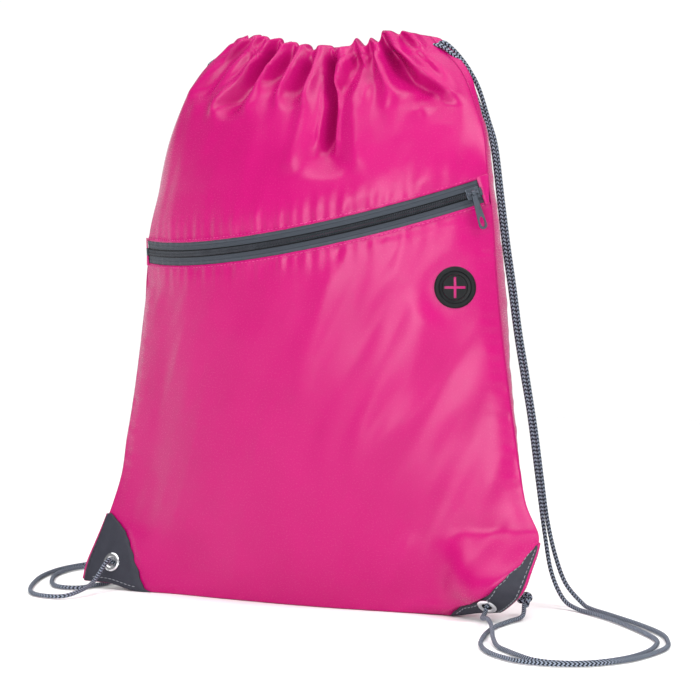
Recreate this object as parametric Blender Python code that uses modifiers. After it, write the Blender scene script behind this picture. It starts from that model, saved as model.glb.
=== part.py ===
"""Drawstring backpack: a soft two-panel bag with a zipped front pocket, standing on its bottom seam.

Units are metres, +Z is up, the bag's front faces -Y and its width runs along X.
Every fabric panel is a loft over one shared form (see front_point and back_point), given a thickness
by Solidify. The corner patches, the zip and the eyelets are placed on that same form.
"""
import bpy
import bmesh
from math import atan2, copysign, cos, pi, radians, sin
from mathutils import Matrix, Vector

COLLECTION = "drawstring_backpack"

# ---- driving dimensions -------------------------------------------------------------------------
PANEL_THICKNESS = 0.0008
PATCH_THICKNESS = 0.0010
CLEARANCE = 0.0003
SEAM_HALF_GAP = 0.0016        # between the side seam's plane and each panel's outer face
POCKET_GAP = 0.0045           # between the pocket's front and its lining
PATCH_GAP = 0.0009            # between a front corner patch and the panel under it
BACK_PATCH_GAP = 0.0020       # the same on the back, where the panel curves more

# Height, half width on the left, half width on the right, seam plane y, front depth, back depth,
# front section exponent, back section exponent. Low sections end in flat corner ears.
STATIONS = (
    (0.000, 0.1800, 0.152, -0.022, 0.010, 0.048, 2.6, 5.0),
    (0.012, 0.1790, 0.164, -0.020, 0.015, 0.056, 2.4, 5.0),
    (0.030, 0.1755, 0.1780, -0.017, 0.024, 0.062, 2.0, 4.0),
    (0.050, 0.1700, 0.1770, -0.015, 0.031, 0.066, 1.6, 2.8),
    (0.080, 0.160, 0.161, -0.013, 0.038, 0.0690, 1.2, 1.8),
    (0.130, 0.1495, 0.1500, -0.011, 0.045, 0.0700, 1.0, 1.2),
    (0.200, 0.1400, 0.1390, -0.009, 0.050, 0.071, 0.9, 1.0),
    (0.260, 0.1345, 0.1325, -0.007, 0.051, 0.067, 0.9, 1.0),
    (0.310, 0.1275, 0.1265, -0.002, 0.046, 0.058, 0.8, 1.0),
    (0.345, 0.1160, 0.1140, 0.004, 0.036, 0.042, 0.7, 1.0),
    (0.366, 0.1030, 0.1010, 0.009, 0.027, 0.029, 0.6, 1.0),
    (0.381, 0.0860, 0.0840, 0.012, 0.021, 0.021, 0.5, 1.0),
    (0.394, 0.0720, 0.0710, 0.012, 0.018, 0.018, 0.5, 1.0),
)
HEIGHT, HALF_LEFT, HALF_RIGHT, SEAM_Y, FRONT_DEPTH, BACK_DEPTH, FRONT_POWER, BACK_POWER = range(8)

# The right corner is twisted forwards and up, the left one leans forwards a little.
EAR_TOP = 0.060
EAR_PIVOT_Z = 0.008
EAR_TWIST = radians(52)
EAR_START_X = 0.100
EAR_END_X = 0.142
RIGHT_EAR_FORWARD = 0.012
RIGHT_EAR_LIFT = 0.0035
EAR_SPREAD = 0.0014           # extra room between front and back where the twist runs out
LEFT_EAR_FORWARD = 0.004
LEFT_EAR_LIFT = 0.0045
LEFT_LIFT_START_X = 0.135
LEFT_LIFT_END_X = 0.165

# The zip lies on one circle through these three points, so that its slider turns about one axis.
ZIP_LEFT = Vector((-0.1370, -0.0125, 0.2400))
ZIP_MIDDLE = Vector((0.0, -0.060, 0.2490))
ZIP_RIGHT = Vector((0.1300, -0.0105, 0.2845))
ZIP_LEAN = -0.25              # how far the tape's face leans back from the circle's axis
TAPE_OUTER = 0.0080           # from the zip's middle line to a tape's far edge
TAPE_MARGIN = 0.0010          # between a tape's far edge and the panel beside it
TAPE_INNER = 0.0007
TAPE_THICKNESS = 0.0006
COIL_INNER = 0.0006
COIL_OUTER = 0.0026
COIL_HEIGHT = 0.0016
ZIP_BLEND = 0.045             # height over which a panel returns from the zip's circle to the form

SLIDER_INSET = 0.0087         # from the zip's right end to the slider's middle
SLIDER_LENGTH = 0.0088
SLIDER_WIDTH = 0.0078
PULLER_LENGTH = 0.0250
PULLER_WIDTH = 0.0056
PULLER_NECK = 0.0030
PULLER_THICKNESS = 0.0012
BRIDGE_RADIUS = 0.0007

PORT_CENTRE_X = 0.1163
PORT_CENTRE_Z = 0.2200
PORT_RADIUS = 0.0140
PORT_NECK_RADIUS = 0.0098
PORT_LIP_RADIUS = 0.0104
PORT_HOLE_RADIUS = 0.0103

EYELET_OUTER = 0.0067
EYELET_BARREL = 0.0040
EYELET_BORE = 0.0034
EYELET_HOLE = 0.0044
EYELET_DEPTH = 0.0123         # from the front patch to the washer behind the back patch
LEFT_EYELET_X = -0.1590
LEFT_EYELET_Z = 0.0155
RIGHT_EYELET_X = 0.1470
RIGHT_EYELET_Z = 0.0120

CORD_RADIUS = 0.0015
CORD_POINTS = 64
TUNNEL_POINTS = 36
KNOT_RADIUS = 0.0048

# ---- scene --------------------------------------------------------------------------------------
for existing in list(bpy.data.objects):
    bpy.data.objects.remove(existing, do_unlink=True)


def new_collection(name):
    collection = bpy.data.collections.new(name)
    bpy.context.scene.collection.children.link(collection)
    return collection


parts = new_collection(COLLECTION)
cutters = new_collection("cutters")


def material(name, colour, roughness, metallic=0.0):
    made = bpy.data.materials.new(name)
    made.use_nodes = True
    shader = made.node_tree.nodes["Principled BSDF"]
    shader.inputs["Base Color"].default_value = (*colour, 1.0)
    shader.inputs["Roughness"].default_value = roughness
    shader.inputs["Metallic"].default_value = metallic
    return made


PINK = ((0.80, 0.03, 0.24), 0.45)
GREY_TAPE = ((0.10, 0.12, 0.15), 0.80)
BLACK_COIL = ((0.012, 0.013, 0.015), 0.50)
CHARCOAL = ((0.06, 0.06, 0.07), 0.55)
RUBBER = ((0.020, 0.021, 0.024), 0.60)
SLATE_METAL = ((0.09, 0.11, 0.14), 0.40, 0.8)
NICKEL = ((0.78, 0.79, 0.80), 0.20, 1.0)
CORD_GREY = ((0.11, 0.13, 0.16), 0.75)


def add_object(name, data, look, collection=None):
    thing = bpy.data.objects.new(name, data)
    (collection or parts).objects.link(thing)
    if look is not None:
        data.materials.append(material(name, *look))
    return thing


# ---- the bag's form -----------------------------------------------------------------------------
def station_value(column, z):
    """One column of STATIONS at height z, by a cubic through the stations."""
    z = min(max(z, STATIONS[0][HEIGHT]), STATIONS[-1][HEIGHT])
    last = len(STATIONS) - 1
    index = max(i for i in range(last) if STATIONS[i][HEIGHT] <= z)

    def slope(i):
        low, high = max(i - 1, 0), min(i + 1, last)
        rise = STATIONS[high][column] - STATIONS[low][column]
        return rise / (STATIONS[high][HEIGHT] - STATIONS[low][HEIGHT])

    below, above = STATIONS[index], STATIONS[index + 1]
    span = above[HEIGHT] - below[HEIGHT]
    s = (z - below[HEIGHT]) / span
    value = (2 * s ** 3 - 3 * s ** 2 + 1) * below[column]
    value += (s ** 3 - 2 * s ** 2 + s) * span * slope(index)
    value += (3 * s ** 2 - 2 * s ** 3) * above[column]
    value += (s ** 3 - s ** 2) * span * slope(index + 1)
    return value


def smoothstep(low, high, value):
    s = min(max((value - low) / (high - low), 0.0), 1.0)
    return s * s * (3 - 2 * s)


def half_width(t, z):
    return station_value(HALF_RIGHT if t > 0 else HALF_LEFT, z)


def ear_twist(x, z):
    """How far the right corner is turned at a place, 0 to 1."""
    return smoothstep(EAR_START_X, EAR_END_X, x) * (1 - smoothstep(0.020, EAR_TOP, z))


def settle(point):
    """Move a point of the straight form to where the standing bag's corners carry it."""
    x, y, z = point
    left = smoothstep(EAR_START_X, EAR_END_X, -x) * (1 - smoothstep(0.0, EAR_TOP, z))
    y -= LEFT_EAR_FORWARD * left
    raised = smoothstep(LEFT_LIFT_START_X, LEFT_LIFT_END_X, -x) * (1 - smoothstep(0.0, EAR_TOP, z))
    z += LEFT_EAR_LIFT * raised
    twist = ear_twist(x, z)
    if twist > 0:
        seam = station_value(SEAM_Y, z)
        turn = Matrix.Rotation(EAR_TWIST * twist, 3, "X")
        offset = y - seam
        offset += copysign(EAR_SPREAD * 4 * twist * (1 - twist), offset)
        moved = turn @ Vector((0, offset, z - EAR_PIVOT_Z))
        y = seam + moved.y - RIGHT_EAR_FORWARD * twist
        z = EAR_PIVOT_Z + moved.z + RIGHT_EAR_LIFT * twist
    return Vector((x, y, max(z, 0.0)))


# ---- the zip's circle ---------------------------------------------------------------------------
def circle_through(first, second, third):
    """Centre, radius and unit normal of the circle through three points."""
    to_second, to_third = second - first, third - first
    normal = to_second.cross(to_third).normalized()
    rows = Matrix((to_second, to_third, normal))
    centre = first + rows.inverted() @ Vector((to_second.length_squared / 2, to_third.length_squared / 2, 0))
    return centre, (first - centre).length, normal


zip_centre, zip_radius, zip_axis = circle_through(ZIP_LEFT, ZIP_MIDDLE, ZIP_RIGHT)
zip_start = (ZIP_LEFT - zip_centre).normalized()
zip_side = zip_axis.cross(zip_start)


def zip_angle_of(point):
    arm = point - zip_centre
    return atan2(arm.dot(zip_side), arm.dot(zip_start))


ZIP_SWEEP = zip_angle_of(ZIP_RIGHT)


def zip_frame(angle):
    """Outward, along and across directions of the zip at an angle from its left end."""
    outward = zip_start * cos(angle) + zip_side * sin(angle)
    along = zip_axis.cross(outward)
    across = (zip_axis + outward * ZIP_LEAN).normalized()
    face = along.cross(across)
    return outward, along, across, face


def zip_point(angle, across_distance=0.0, proud=0.0):
    outward, along, across, face = zip_frame(angle)
    return zip_centre + outward * zip_radius + across * across_distance + face * proud


def zip_point_at(t, across_distance):
    """The zip's point at the panel's column t, found by halving the angle's range."""
    low, high = -0.1, ZIP_SWEEP + 0.1
    for _ in range(40):
        middle = (low + high) / 2
        point = zip_point(middle, across_distance)
        if point.x < t * half_width(t, point.z):
            low = middle
        else:
            high = middle
    return zip_point(low, across_distance)


# ---- panel points -------------------------------------------------------------------------------
def front_point(t, z, inset=0.0):
    """A point of the front, from t = -1 at the left seam to 1 at the right; inset goes inwards."""
    depth = station_value(FRONT_DEPTH, z) * (1 - t * t) ** station_value(FRONT_POWER, z)
    y = station_value(SEAM_Y, z) - SEAM_HALF_GAP - depth
    zip_level = zip_point_at(t, 0.0)
    near = max(0.0, 1 - abs(z - zip_level.z) / ZIP_BLEND)
    if near > 0:
        level_depth = station_value(FRONT_DEPTH, zip_level.z)
        level_depth *= (1 - t * t) ** station_value(FRONT_POWER, zip_level.z)
        form_y = station_value(SEAM_Y, zip_level.z) - SEAM_HALF_GAP - level_depth
        tape_lean = zip_point_at(t, (z - zip_level.z)).y - zip_level.y
        surface_lean = y - form_y
        blend = near * near * (3 - 2 * near)
        y += blend * (zip_level.y - form_y + tape_lean - surface_lean)
    return Vector((t * half_width(t, z), y + inset, z))


def back_point(t, z):
    wide = sin(t * pi / 2)
    depth = station_value(BACK_DEPTH, z) * cos(t * pi / 2) ** station_value(BACK_POWER, z)
    y = station_value(SEAM_Y, z) + SEAM_HALF_GAP + depth
    return Vector((wide * half_width(t, z), y, z))


def clustered(count):
    """Columns from -1 to 1 that crowd towards the side seams."""
    even = [2 * i / count - 1 for i in range(count + 1)]
    return [u * (1.35 - 0.35 * u * u) for u in even]


def grid_object(name, rows, look, thickness, offset):
    """A loft over rows of equally many points, listed bottom to top and left to right as seen from
    outside, made solid by Solidify. offset -1 grows it inwards and 1 outwards."""
    mesh = bpy.data.meshes.new(name)
    bm = bmesh.new()
    made = [[bm.verts.new(point) for point in row] for row in rows]
    for lower, upper in zip(made, made[1:]):
        for i in range(len(lower) - 1):
            bm.faces.new((lower[i], lower[i + 1], upper[i + 1], upper[i]))
    bm.to_mesh(mesh)
    bm.free()
    mesh.shade_smooth()
    thing = add_object(name, mesh, look)
    shell = thing.modifiers.new("thickness", "SOLIDIFY")
    shell.thickness = thickness
    shell.offset = offset
    return thing


def closed_loft(name, rings, look):
    """A solid skinned over closed rings of points, with a flat cap on each end."""
    mesh = bpy.data.meshes.new(name)
    bm = bmesh.new()
    made = [[bm.verts.new(point) for point in ring] for ring in rings]
    count = len(made[0])
    for lower, upper in zip(made, made[1:]):
        for i in range(count):
            j = (i + 1) % count
            bm.faces.new((lower[i], lower[j], upper[j], upper[i]))
    bm.faces.new(reversed(made[0]))
    bm.faces.new(made[-1])
    bmesh.ops.recalc_face_normals(bm, faces=bm.faces)
    bm.to_mesh(mesh)
    bm.free()
    return add_object(name, mesh, look)


# ---- fabric panels ------------------------------------------------------------------------------
FRONT_COLUMNS = clustered(18)
CHANNEL_BOTTOM = 0.3700
CHANNEL_TOP = 0.3915
CHANNEL_END = 0.95


def between(low, high, count):
    return [low + (high - low) * i / count for i in range(count + 1)]


def upper_rows(rows):
    """Rows of the front above the zip: the tape's edge, then up to the drawstring channel."""
    edge = [zip_point_at(t, TAPE_OUTER + TAPE_MARGIN) for t in FRONT_COLUMNS]
    result = [edge]
    for share in between(0, 1, rows)[1:]:
        row = []
        for t, start in zip(FRONT_COLUMNS, edge):
            z = start.z + (CHANNEL_BOTTOM - CLEARANCE - start.z) * share
            row.append(front_point(t, z))
        result.append(row)
    return result


EAR_HEIGHTS = (0.014, 0.020, 0.026, 0.032, 0.040, 0.050, 0.062)      # shared by front and back
POCKET_HEIGHTS = (0.0005, 0.006, *EAR_HEIGHTS, 0.085, 0.120, 0.155, 0.185)


def pocket_rows():
    """Rows of the pocket's front: up from the bottom seam, ending on the tape's lower edge."""
    edge = [zip_point_at(t, -TAPE_OUTER - TAPE_MARGIN) for t in FRONT_COLUMNS]
    rows = [[settle(front_point(t, z)) for t in FRONT_COLUMNS] for z in POCKET_HEIGHTS]
    top = POCKET_HEIGHTS[-1]
    rows.append([front_point(t, (top + end.z) / 2) for t, end in zip(FRONT_COLUMNS, edge)])
    rows.append(edge)
    return rows


front_upper = grid_object("front_upper_panel", upper_rows(7), PINK, PANEL_THICKNESS, -1)
pocket_front = grid_object("pocket_front_panel", pocket_rows(), PINK, PANEL_THICKNESS, -1)


def lining_rows():
    """The pocket's back wall, parallel to its front, stopping short of the corner ears."""
    inset = PANEL_THICKNESS + POCKET_GAP
    columns = between(-0.90, 0.90, 12)
    rows = []
    for z in (0.014, 0.030, 0.050, 0.075, 0.105, 0.140, 0.175, 0.205):
        reach = 0.70 + 0.30 * smoothstep(0.010, 0.080, z)
        rows.append([settle(front_point(t * reach, z, inset)) for t in columns])
    rows.append([zip_point_at(t, 0.004) + Vector((0, inset + 0.0015, 0)) for t in columns])
    return rows


lining = grid_object("pocket_lining", lining_rows(), PINK, PANEL_THICKNESS, -1)

BACK_COLUMNS = between(-1, 1, 18)
BACK_HEIGHTS = (0.009, *EAR_HEIGHTS, 0.085, 0.120, 0.165, 0.215, 0.260, 0.300, 0.330, 0.352,
                CHANNEL_BOTTOM - CLEARANCE)
FOLD_INSET = 0.006
UNDERSIDE_GAP = 0.0021


def underside_edge(t):
    """Where the back panel starts, just behind the front's bottom edge."""
    wide = sin(t * pi / 2)
    front = front_point(wide, 0.0)
    return settle(Vector((wide * half_width(t, 0.0), front.y + PANEL_THICKNESS + UNDERSIDE_GAP, 0.0)))


def underside_fold(t):
    """The rear edge of the flat bottom; it climbs in the corner ears."""
    ear = smoothstep(0.45, 0.80, abs(sin(t * pi / 2)))
    point = back_point(t, 0.0)
    inset = FOLD_INSET * (1 - ear)
    return settle(Vector((point.x, point.y - inset, 0.0045 * ear)))


def back_rows():
    rows = [[underside_edge(t) for t in BACK_COLUMNS], [underside_fold(t) for t in BACK_COLUMNS]]
    rows += [[settle(back_point(t, z)) for t in BACK_COLUMNS] for z in BACK_HEIGHTS]
    return [list(reversed(row)) for row in rows]


back_panel = grid_object("back_panel", back_rows(), PINK, PANEL_THICKNESS, -1)


# ---- drawstring channels ------------------------------------------------------------------------
CHANNEL_HALF_HEIGHT = (CHANNEL_TOP - CHANNEL_BOTTOM) / 2
CHANNEL_HALF_DEPTH = 0.0027
CHANNEL_MIDDLE = (CHANNEL_TOP + CHANNEL_BOTTOM) / 2
RING_STEPS = 10


def channel_frame(t, side):
    """Middle of the hem tunnel and its upward and outward directions; side is -1 front, 1 back."""
    def surface(share, z):
        y = station_value(SEAM_Y, z) + side * (SEAM_HALF_GAP + station_value(FRONT_DEPTH, z)
                                               * max(0.0, 1 - share * share) ** 0.5)
        return Vector((share * half_width(share, z), y, z))
    step = 0.01
    along = surface(t + step, CHANNEL_MIDDLE) - surface(t - step, CHANNEL_MIDDLE)
    up = (surface(t, CHANNEL_TOP) - surface(t, CHANNEL_BOTTOM)).normalized()
    outward = along.cross(up).normalized() * -side
    return surface(t, CHANNEL_MIDDLE) - outward * (CHANNEL_HALF_DEPTH + 0.0002), up, outward


def channel(name, side):
    """A hem folded over into a flat tunnel, open at both ends."""
    rows = []
    for t in between(-CHANNEL_END, CHANNEL_END, 14):
        middle, up, outward = channel_frame(t, side)
        ring = []
        for i in range(RING_STEPS + 1):
            angle = 2 * pi * i / RING_STEPS
            lift = CHANNEL_HALF_HEIGHT * max(-1.0, min(1.0, 1.25 * sin(angle)))
            ring.append(middle + up * lift + outward * CHANNEL_HALF_DEPTH * cos(angle))
        rows.append(ring)
    mesh = bpy.data.meshes.new(name)
    bm = bmesh.new()
    made = [[bm.verts.new(point) for point in row[:-1]] for row in rows]
    for lower, upper in zip(made, made[1:]):
        for i in range(RING_STEPS):
            j = (i + 1) % RING_STEPS
            order = (lower[i], upper[i], upper[j], lower[j])
            bm.faces.new(order if side > 0 else reversed(order))
    bm.to_mesh(mesh)
    bm.free()
    mesh.shade_smooth()
    thing = add_object(name, mesh, PINK)
    shell = thing.modifiers.new("thickness", "SOLIDIFY")
    shell.thickness = PANEL_THICKNESS
    shell.offset = -1
    return thing


channel("channel_front", -1)
channel("channel_back", 1)


# ---- seam allowances inside the bag -------------------------------------------------------------
SEAM_WIDTH = 0.0070
SEAM_THICKNESS = 0.0010
SEAM_INSET = 0.0045


def side_seam(name, side):
    rings = []
    for z in between(0.085, 0.345, 9):
        outer = side * (half_width(side, z) - SEAM_INSET)
        inner = outer - side * SEAM_WIDTH
        y = station_value(SEAM_Y, z)
        near, far = y - SEAM_THICKNESS / 2, y + SEAM_THICKNESS / 2
        rings.append([(outer, near, z), (outer, far, z), (inner, far, z), (inner, near, z)])
    closed_loft(name, rings, PINK)


side_seam("side_seam_left", -1)
side_seam("side_seam_right", 1)


def bottom_seam():
    rings = []
    for x in between(-0.100, 0.080, 9):
        t = x / half_width(x, 0.0)
        y = front_point(t, 0.0).y + 0.0042
        low, high = 0.0016, 0.0016 + SEAM_WIDTH
        rings.append([(x, y, low), (x, y + SEAM_THICKNESS, low), (x, y + SEAM_THICKNESS, high), (x, y, high)])
    closed_loft("bottom_seam", rings, PINK)


bottom_seam()


# ---- zip ----------------------------------------------------------------------------------------
def zip_strip(name, low, high, back, front, look, start, end, segments):
    """A strip along the zip's circle: low and high are across it, back and front are proud of it."""
    rings = []
    for angle in between(start, end, segments):
        rings.append([zip_point(angle, low, back), zip_point(angle, high, back),
                      zip_point(angle, high, front), zip_point(angle, low, front)])
    return closed_loft(name, rings, look)


def zip_arc(length):
    return length / zip_radius


ZIP_SEGMENTS = 26
TAPE_FRONT = -CLEARANCE
TAPE_BACK = TAPE_FRONT - TAPE_THICKNESS
STOP_LENGTH = 0.0018
COIL_INSET = 0.0042
tape_ends = (zip_arc(0.0020), ZIP_SWEEP - zip_arc(0.0020))
coil_ends = (zip_arc(COIL_INSET), ZIP_SWEEP - zip_arc(COIL_INSET))
zip_strip("zip_tape_upper", TAPE_INNER, TAPE_OUTER, TAPE_BACK, TAPE_FRONT, GREY_TAPE, *tape_ends, ZIP_SEGMENTS)
zip_strip("zip_tape_lower", -TAPE_OUTER, -TAPE_INNER, TAPE_BACK, TAPE_FRONT, GREY_TAPE, *tape_ends, ZIP_SEGMENTS)
zip_strip("zip_coil_upper", COIL_INNER, COIL_OUTER, 0.0, COIL_HEIGHT, BLACK_COIL, *coil_ends, ZIP_SEGMENTS)
zip_strip("zip_coil_lower", -COIL_OUTER, -COIL_INNER, 0.0, COIL_HEIGHT, BLACK_COIL, *coil_ends, ZIP_SEGMENTS)
stop_gap = zip_arc(CLEARANCE)
stop_arc = zip_arc(STOP_LENGTH)
zip_strip("zip_stop_left", -COIL_OUTER, COIL_OUTER, 0.0, COIL_HEIGHT, SLATE_METAL,
          coil_ends[0] - stop_gap - stop_arc, coil_ends[0] - stop_gap, 1)
zip_strip("zip_stop_right", -COIL_OUTER, COIL_OUTER, 0.0, COIL_HEIGHT, SLATE_METAL,
          coil_ends[1] + stop_gap, coil_ends[1] + stop_gap + stop_arc, 1)

slider_angle = ZIP_SWEEP - zip_arc(SLIDER_INSET)
outward, slider_along, slider_across, slider_face = zip_frame(slider_angle)
slider_origin = zip_point(slider_angle)
slider_matrix = Matrix((slider_along, slider_across, slider_face)).transposed().to_4x4()
slider_matrix.translation = slider_origin


def block(name, size, centre, look=None, collection=None, bevel=0.0):
    """A box given by its size and centre in its own axes, with its edges rounded when bevel is set."""
    mesh = bpy.data.meshes.new(name)
    bm = bmesh.new()
    bmesh.ops.create_cube(bm, size=1.0)
    bmesh.ops.scale(bm, vec=size, verts=bm.verts)
    bmesh.ops.translate(bm, vec=centre, verts=bm.verts)
    if bevel:
        bmesh.ops.bevel(bm, geom=bm.edges, offset=bevel, segments=2, affect="EDGES", profile=0.5)
    bm.to_mesh(mesh)
    bm.free()
    return add_object(name, mesh, look, collection)


def rod(name, radius, length, centre, axis, collection, sides=12):
    """A round bar along X, Y or Z in its own axes."""
    mesh = bpy.data.meshes.new(name)
    bm = bmesh.new()
    bmesh.ops.create_cone(bm, cap_ends=True, segments=sides, radius1=radius, radius2=radius, depth=length)
    turn = {"X": Matrix.Rotation(pi / 2, 3, "Y"), "Y": Matrix.Rotation(pi / 2, 3, "X"), "Z": Matrix.Identity(3)}
    bmesh.ops.rotate(bm, matrix=turn[axis], verts=bm.verts)
    bmesh.ops.translate(bm, vec=centre, verts=bm.verts)
    bm.to_mesh(mesh)
    bm.free()
    return add_object(name, mesh, None, collection)


def as_cutter(thing):
    thing.hide_render = True
    thing.display_type = "WIRE"
    return thing


def combine(target, tool, operation):
    change = target.modifiers.new(tool.name, "BOOLEAN")
    change.operation = operation
    change.object = tool
    as_cutter(tool)


TOP_PLATE = (0.0022, 0.0033)
BOTTOM_PLATE = (-0.0023, -0.0014)
BRIDGE_HEIGHT = 0.0056
slider = block("zip_slider", (SLIDER_LENGTH, SLIDER_WIDTH, TOP_PLATE[1] - TOP_PLATE[0]),
               (0, 0, sum(TOP_PLATE) / 2), SLATE_METAL, bevel=0.0003)
slider_tools = [
    block("slider_bottom_plate", (SLIDER_LENGTH * 0.9, SLIDER_WIDTH * 0.85, BOTTOM_PLATE[1] - BOTTOM_PLATE[0]),
          (0, 0, sum(BOTTOM_PLATE) / 2), None, cutters, 0.0002),
    block("slider_web", (0.0036, 0.0007, 0.0042), (0.0024, 0, 0.0004), None, cutters),
    block("slider_post_rear", (0.0012, 0.0024, 0.0036), (-0.0032, 0, 0.0046), None, cutters, 0.0002),
    block("slider_post_front", (0.0012, 0.0024, 0.0036), (0.0032, 0, 0.0046), None, cutters, 0.0002),
    rod("slider_bridge", BRIDGE_RADIUS, 0.0062, (0, 0, BRIDGE_HEIGHT), "X", cutters),
]
slider.matrix_world = slider_matrix
for tool in slider_tools:
    tool.matrix_world = slider_matrix
    combine(slider, tool, "UNION")


def puller_outline():
    """Half outline of the puller from its neck down: a long taper with a round lower end."""
    end = PULLER_WIDTH / 2
    points = [(PULLER_NECK / 2, -0.0010), (end, -PULLER_LENGTH + end)]
    points += [(end * cos(a), -PULLER_LENGTH + end - end * sin(a)) for a in between(pi / 12, pi / 2, 5)]
    return points


def puller():
    """The pull tab. Its eye turns on the slider's bridge, and it hangs straight down at rest."""
    hang = Vector((0, 0, -1))
    hang = (hang - slider_along * hang.dot(slider_along)).normalized()
    pivot = slider_origin + slider_face * BRIDGE_HEIGHT
    across = -hang
    matrix = Matrix((slider_along, across, slider_along.cross(across))).transposed().to_4x4()
    matrix.translation = pivot

    half = puller_outline()
    outline = half + [(-x, y) for x, y in reversed(half[:-1])]
    curve = bpy.data.curves.new("puller_outline", "CURVE")
    curve.dimensions = "2D"
    curve.fill_mode = "BOTH"
    curve.extrude = PULLER_THICKNESS / 2
    slot_centre = -PULLER_LENGTH + 0.0052
    slot = [(0.0015 * cos(a), slot_centre + 0.0036 * sin(a)) for a in between(0, 2 * pi, 12)[:-1]]
    for loop in (outline, slot):
        spline = curve.splines.new("POLY")
        spline.points.add(len(loop) - 1)
        for point, (x, y) in zip(spline.points, loop):
            point.co = (x, y, 0, 1)
        spline.use_cyclic_u = True
    flat = bpy.data.objects.new("puller_flat", curve)
    cutters.objects.link(flat)
    bpy.context.view_layer.update()
    evaluated = flat.evaluated_get(bpy.context.evaluated_depsgraph_get())
    mesh = bpy.data.meshes.new_from_object(evaluated)
    bpy.data.objects.remove(flat, do_unlink=True)
    bm = bmesh.new()
    bm.from_mesh(mesh)
    bmesh.ops.remove_doubles(bm, verts=bm.verts, dist=0.00001)
    bm.to_mesh(mesh)
    bm.free()
    tab = add_object("zip_puller", mesh, SLATE_METAL)
    tab.matrix_world = matrix
    eye = rod("puller_eye", 0.0019, PULLER_NECK * 0.8, (0, 0, 0), "X", cutters, 16)
    bore = rod("puller_bore", 0.0011, PULLER_NECK * 2, (0, 0, 0), "X", cutters, 16)
    for tool, operation in ((eye, "UNION"), (bore, "DIFFERENCE")):
        tool.matrix_world = matrix
        combine(tab, tool, operation)
    return tab


puller()


# ---- turned pieces ------------------------------------------------------------------------------
def turned(name, profile, look, matrix, steps=28):
    """A ring turned about its own Z from a closed (radius, height) profile, outer side downwards."""
    mesh = bpy.data.meshes.new(name)
    points = [(radius, 0, height) for radius, height in profile]
    edges = [(i, (i + 1) % len(points)) for i in range(len(points))]
    mesh.from_pydata(points, edges, [])
    thing = add_object(name, mesh, look)
    screw = thing.modifiers.new("turn", "SCREW")
    screw.steps = steps
    screw.render_steps = steps
    screw.use_merge_vertices = True
    screw.merge_threshold = 0.00001
    screw.use_smooth_shade = True
    thing.matrix_world = matrix
    return thing


def frame_at(surface, across, upwards):
    """A matrix whose Z is the outward normal of a surface function at (across, upwards)."""
    step = 0.0005
    centre = surface(across, upwards)
    right = (surface(across + step, upwards) - surface(across - step, upwards)).normalized()
    up = surface(across, upwards + step) - surface(across, upwards - step)
    normal = right.cross(up).normalized()
    matrix = Matrix((right, normal.cross(right), normal)).transposed().to_4x4()
    matrix.translation = centre
    return matrix


def front_at_x(x, z):
    return settle(front_point(x / half_width(x, z), z))


def drill(target, radius, length, matrix, name):
    hole = rod(name, radius, length, (0, 0, 0), "Z", cutters, 28)
    hole.matrix_world = matrix
    combine(target, hole, "DIFFERENCE")


# Earphone port: a rubber grommet through the pocket's front, a slit membrane and a rear clamp ring.
port_matrix = frame_at(front_at_x, PORT_CENTRE_X, PORT_CENTRE_Z)
drill(pocket_front, PORT_HOLE_RADIUS, 0.012, port_matrix, "port_hole")
turned("port_grommet", [
    (PORT_RADIUS, 0.0012), (PORT_RADIUS, 0.0008), (PORT_NECK_RADIUS, 0.0006), (PORT_NECK_RADIUS, -0.0030),
    (0.0086, -0.0030), (0.0086, 0.0008), (PORT_LIP_RADIUS, 0.0010), (PORT_LIP_RADIUS + 0.0008, 0.0019),
    (PORT_RADIUS - 0.0010, 0.0019)], RUBBER, port_matrix, 32)
turned("port_back_ring", [
    (0.0125, -0.0021), (0.0125, -0.0029), (0.0101, -0.0029), (0.0101, -0.0021)], RUBBER, port_matrix, 32)
membrane = rod("port_membrane", 0.0083, 0.0010, (0, 0, 0.0001), "Z", parts, 32)
membrane.data.materials.append(material("port_membrane", *RUBBER))
membrane.matrix_world = port_matrix
for index, size in enumerate(((0.0142, 0.0018, 0.004), (0.0018, 0.0142, 0.004))):
    slit = block(f"port_slit_{index}", size, (0, 0, 0), None, cutters)
    slit.matrix_world = port_matrix
    combine(membrane, slit, "DIFFERENCE")


# ---- corner patches and eyelets -----------------------------------------------------------------
PATCH_ROWS = 7
PATCH_COLUMNS = 6
PATCH_REACH_LEFT = 0.062
PATCH_REACH_RIGHT = 0.046
PATCH_TOP = 0.051


def patch_rows(side, surface, reach, flip):
    """A corner patch: from the side seam inwards to a hollow curve, wide at the bottom."""
    rows = []
    for v in between(0.03, 0.94, PATCH_ROWS):
        z = PATCH_TOP * v
        width = reach * (1 - v) ** 1.15
        edge = half_width(side, z) - 0.0006
        row = []
        for u in between(0, 1, PATCH_COLUMNS):
            x = side * (edge - width * u)
            matrix = frame_at(surface, x, z)
            normal = matrix.col[2].to_3d() * flip
            row.append(surface(x, z) + normal * (PATCH_GAP if flip > 0 else BACK_PATCH_GAP))
        rows.append(row if side * flip < 0 else list(reversed(row)))
    return rows


def back_at_x(x, z):
    wide = x / half_width(x, z)
    depth = station_value(BACK_DEPTH, z) * max(0.0, 1 - wide * wide) ** (station_value(BACK_POWER, z) / 2)
    return settle(Vector((x, station_value(SEAM_Y, z) + SEAM_HALF_GAP + depth, z)))


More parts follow.
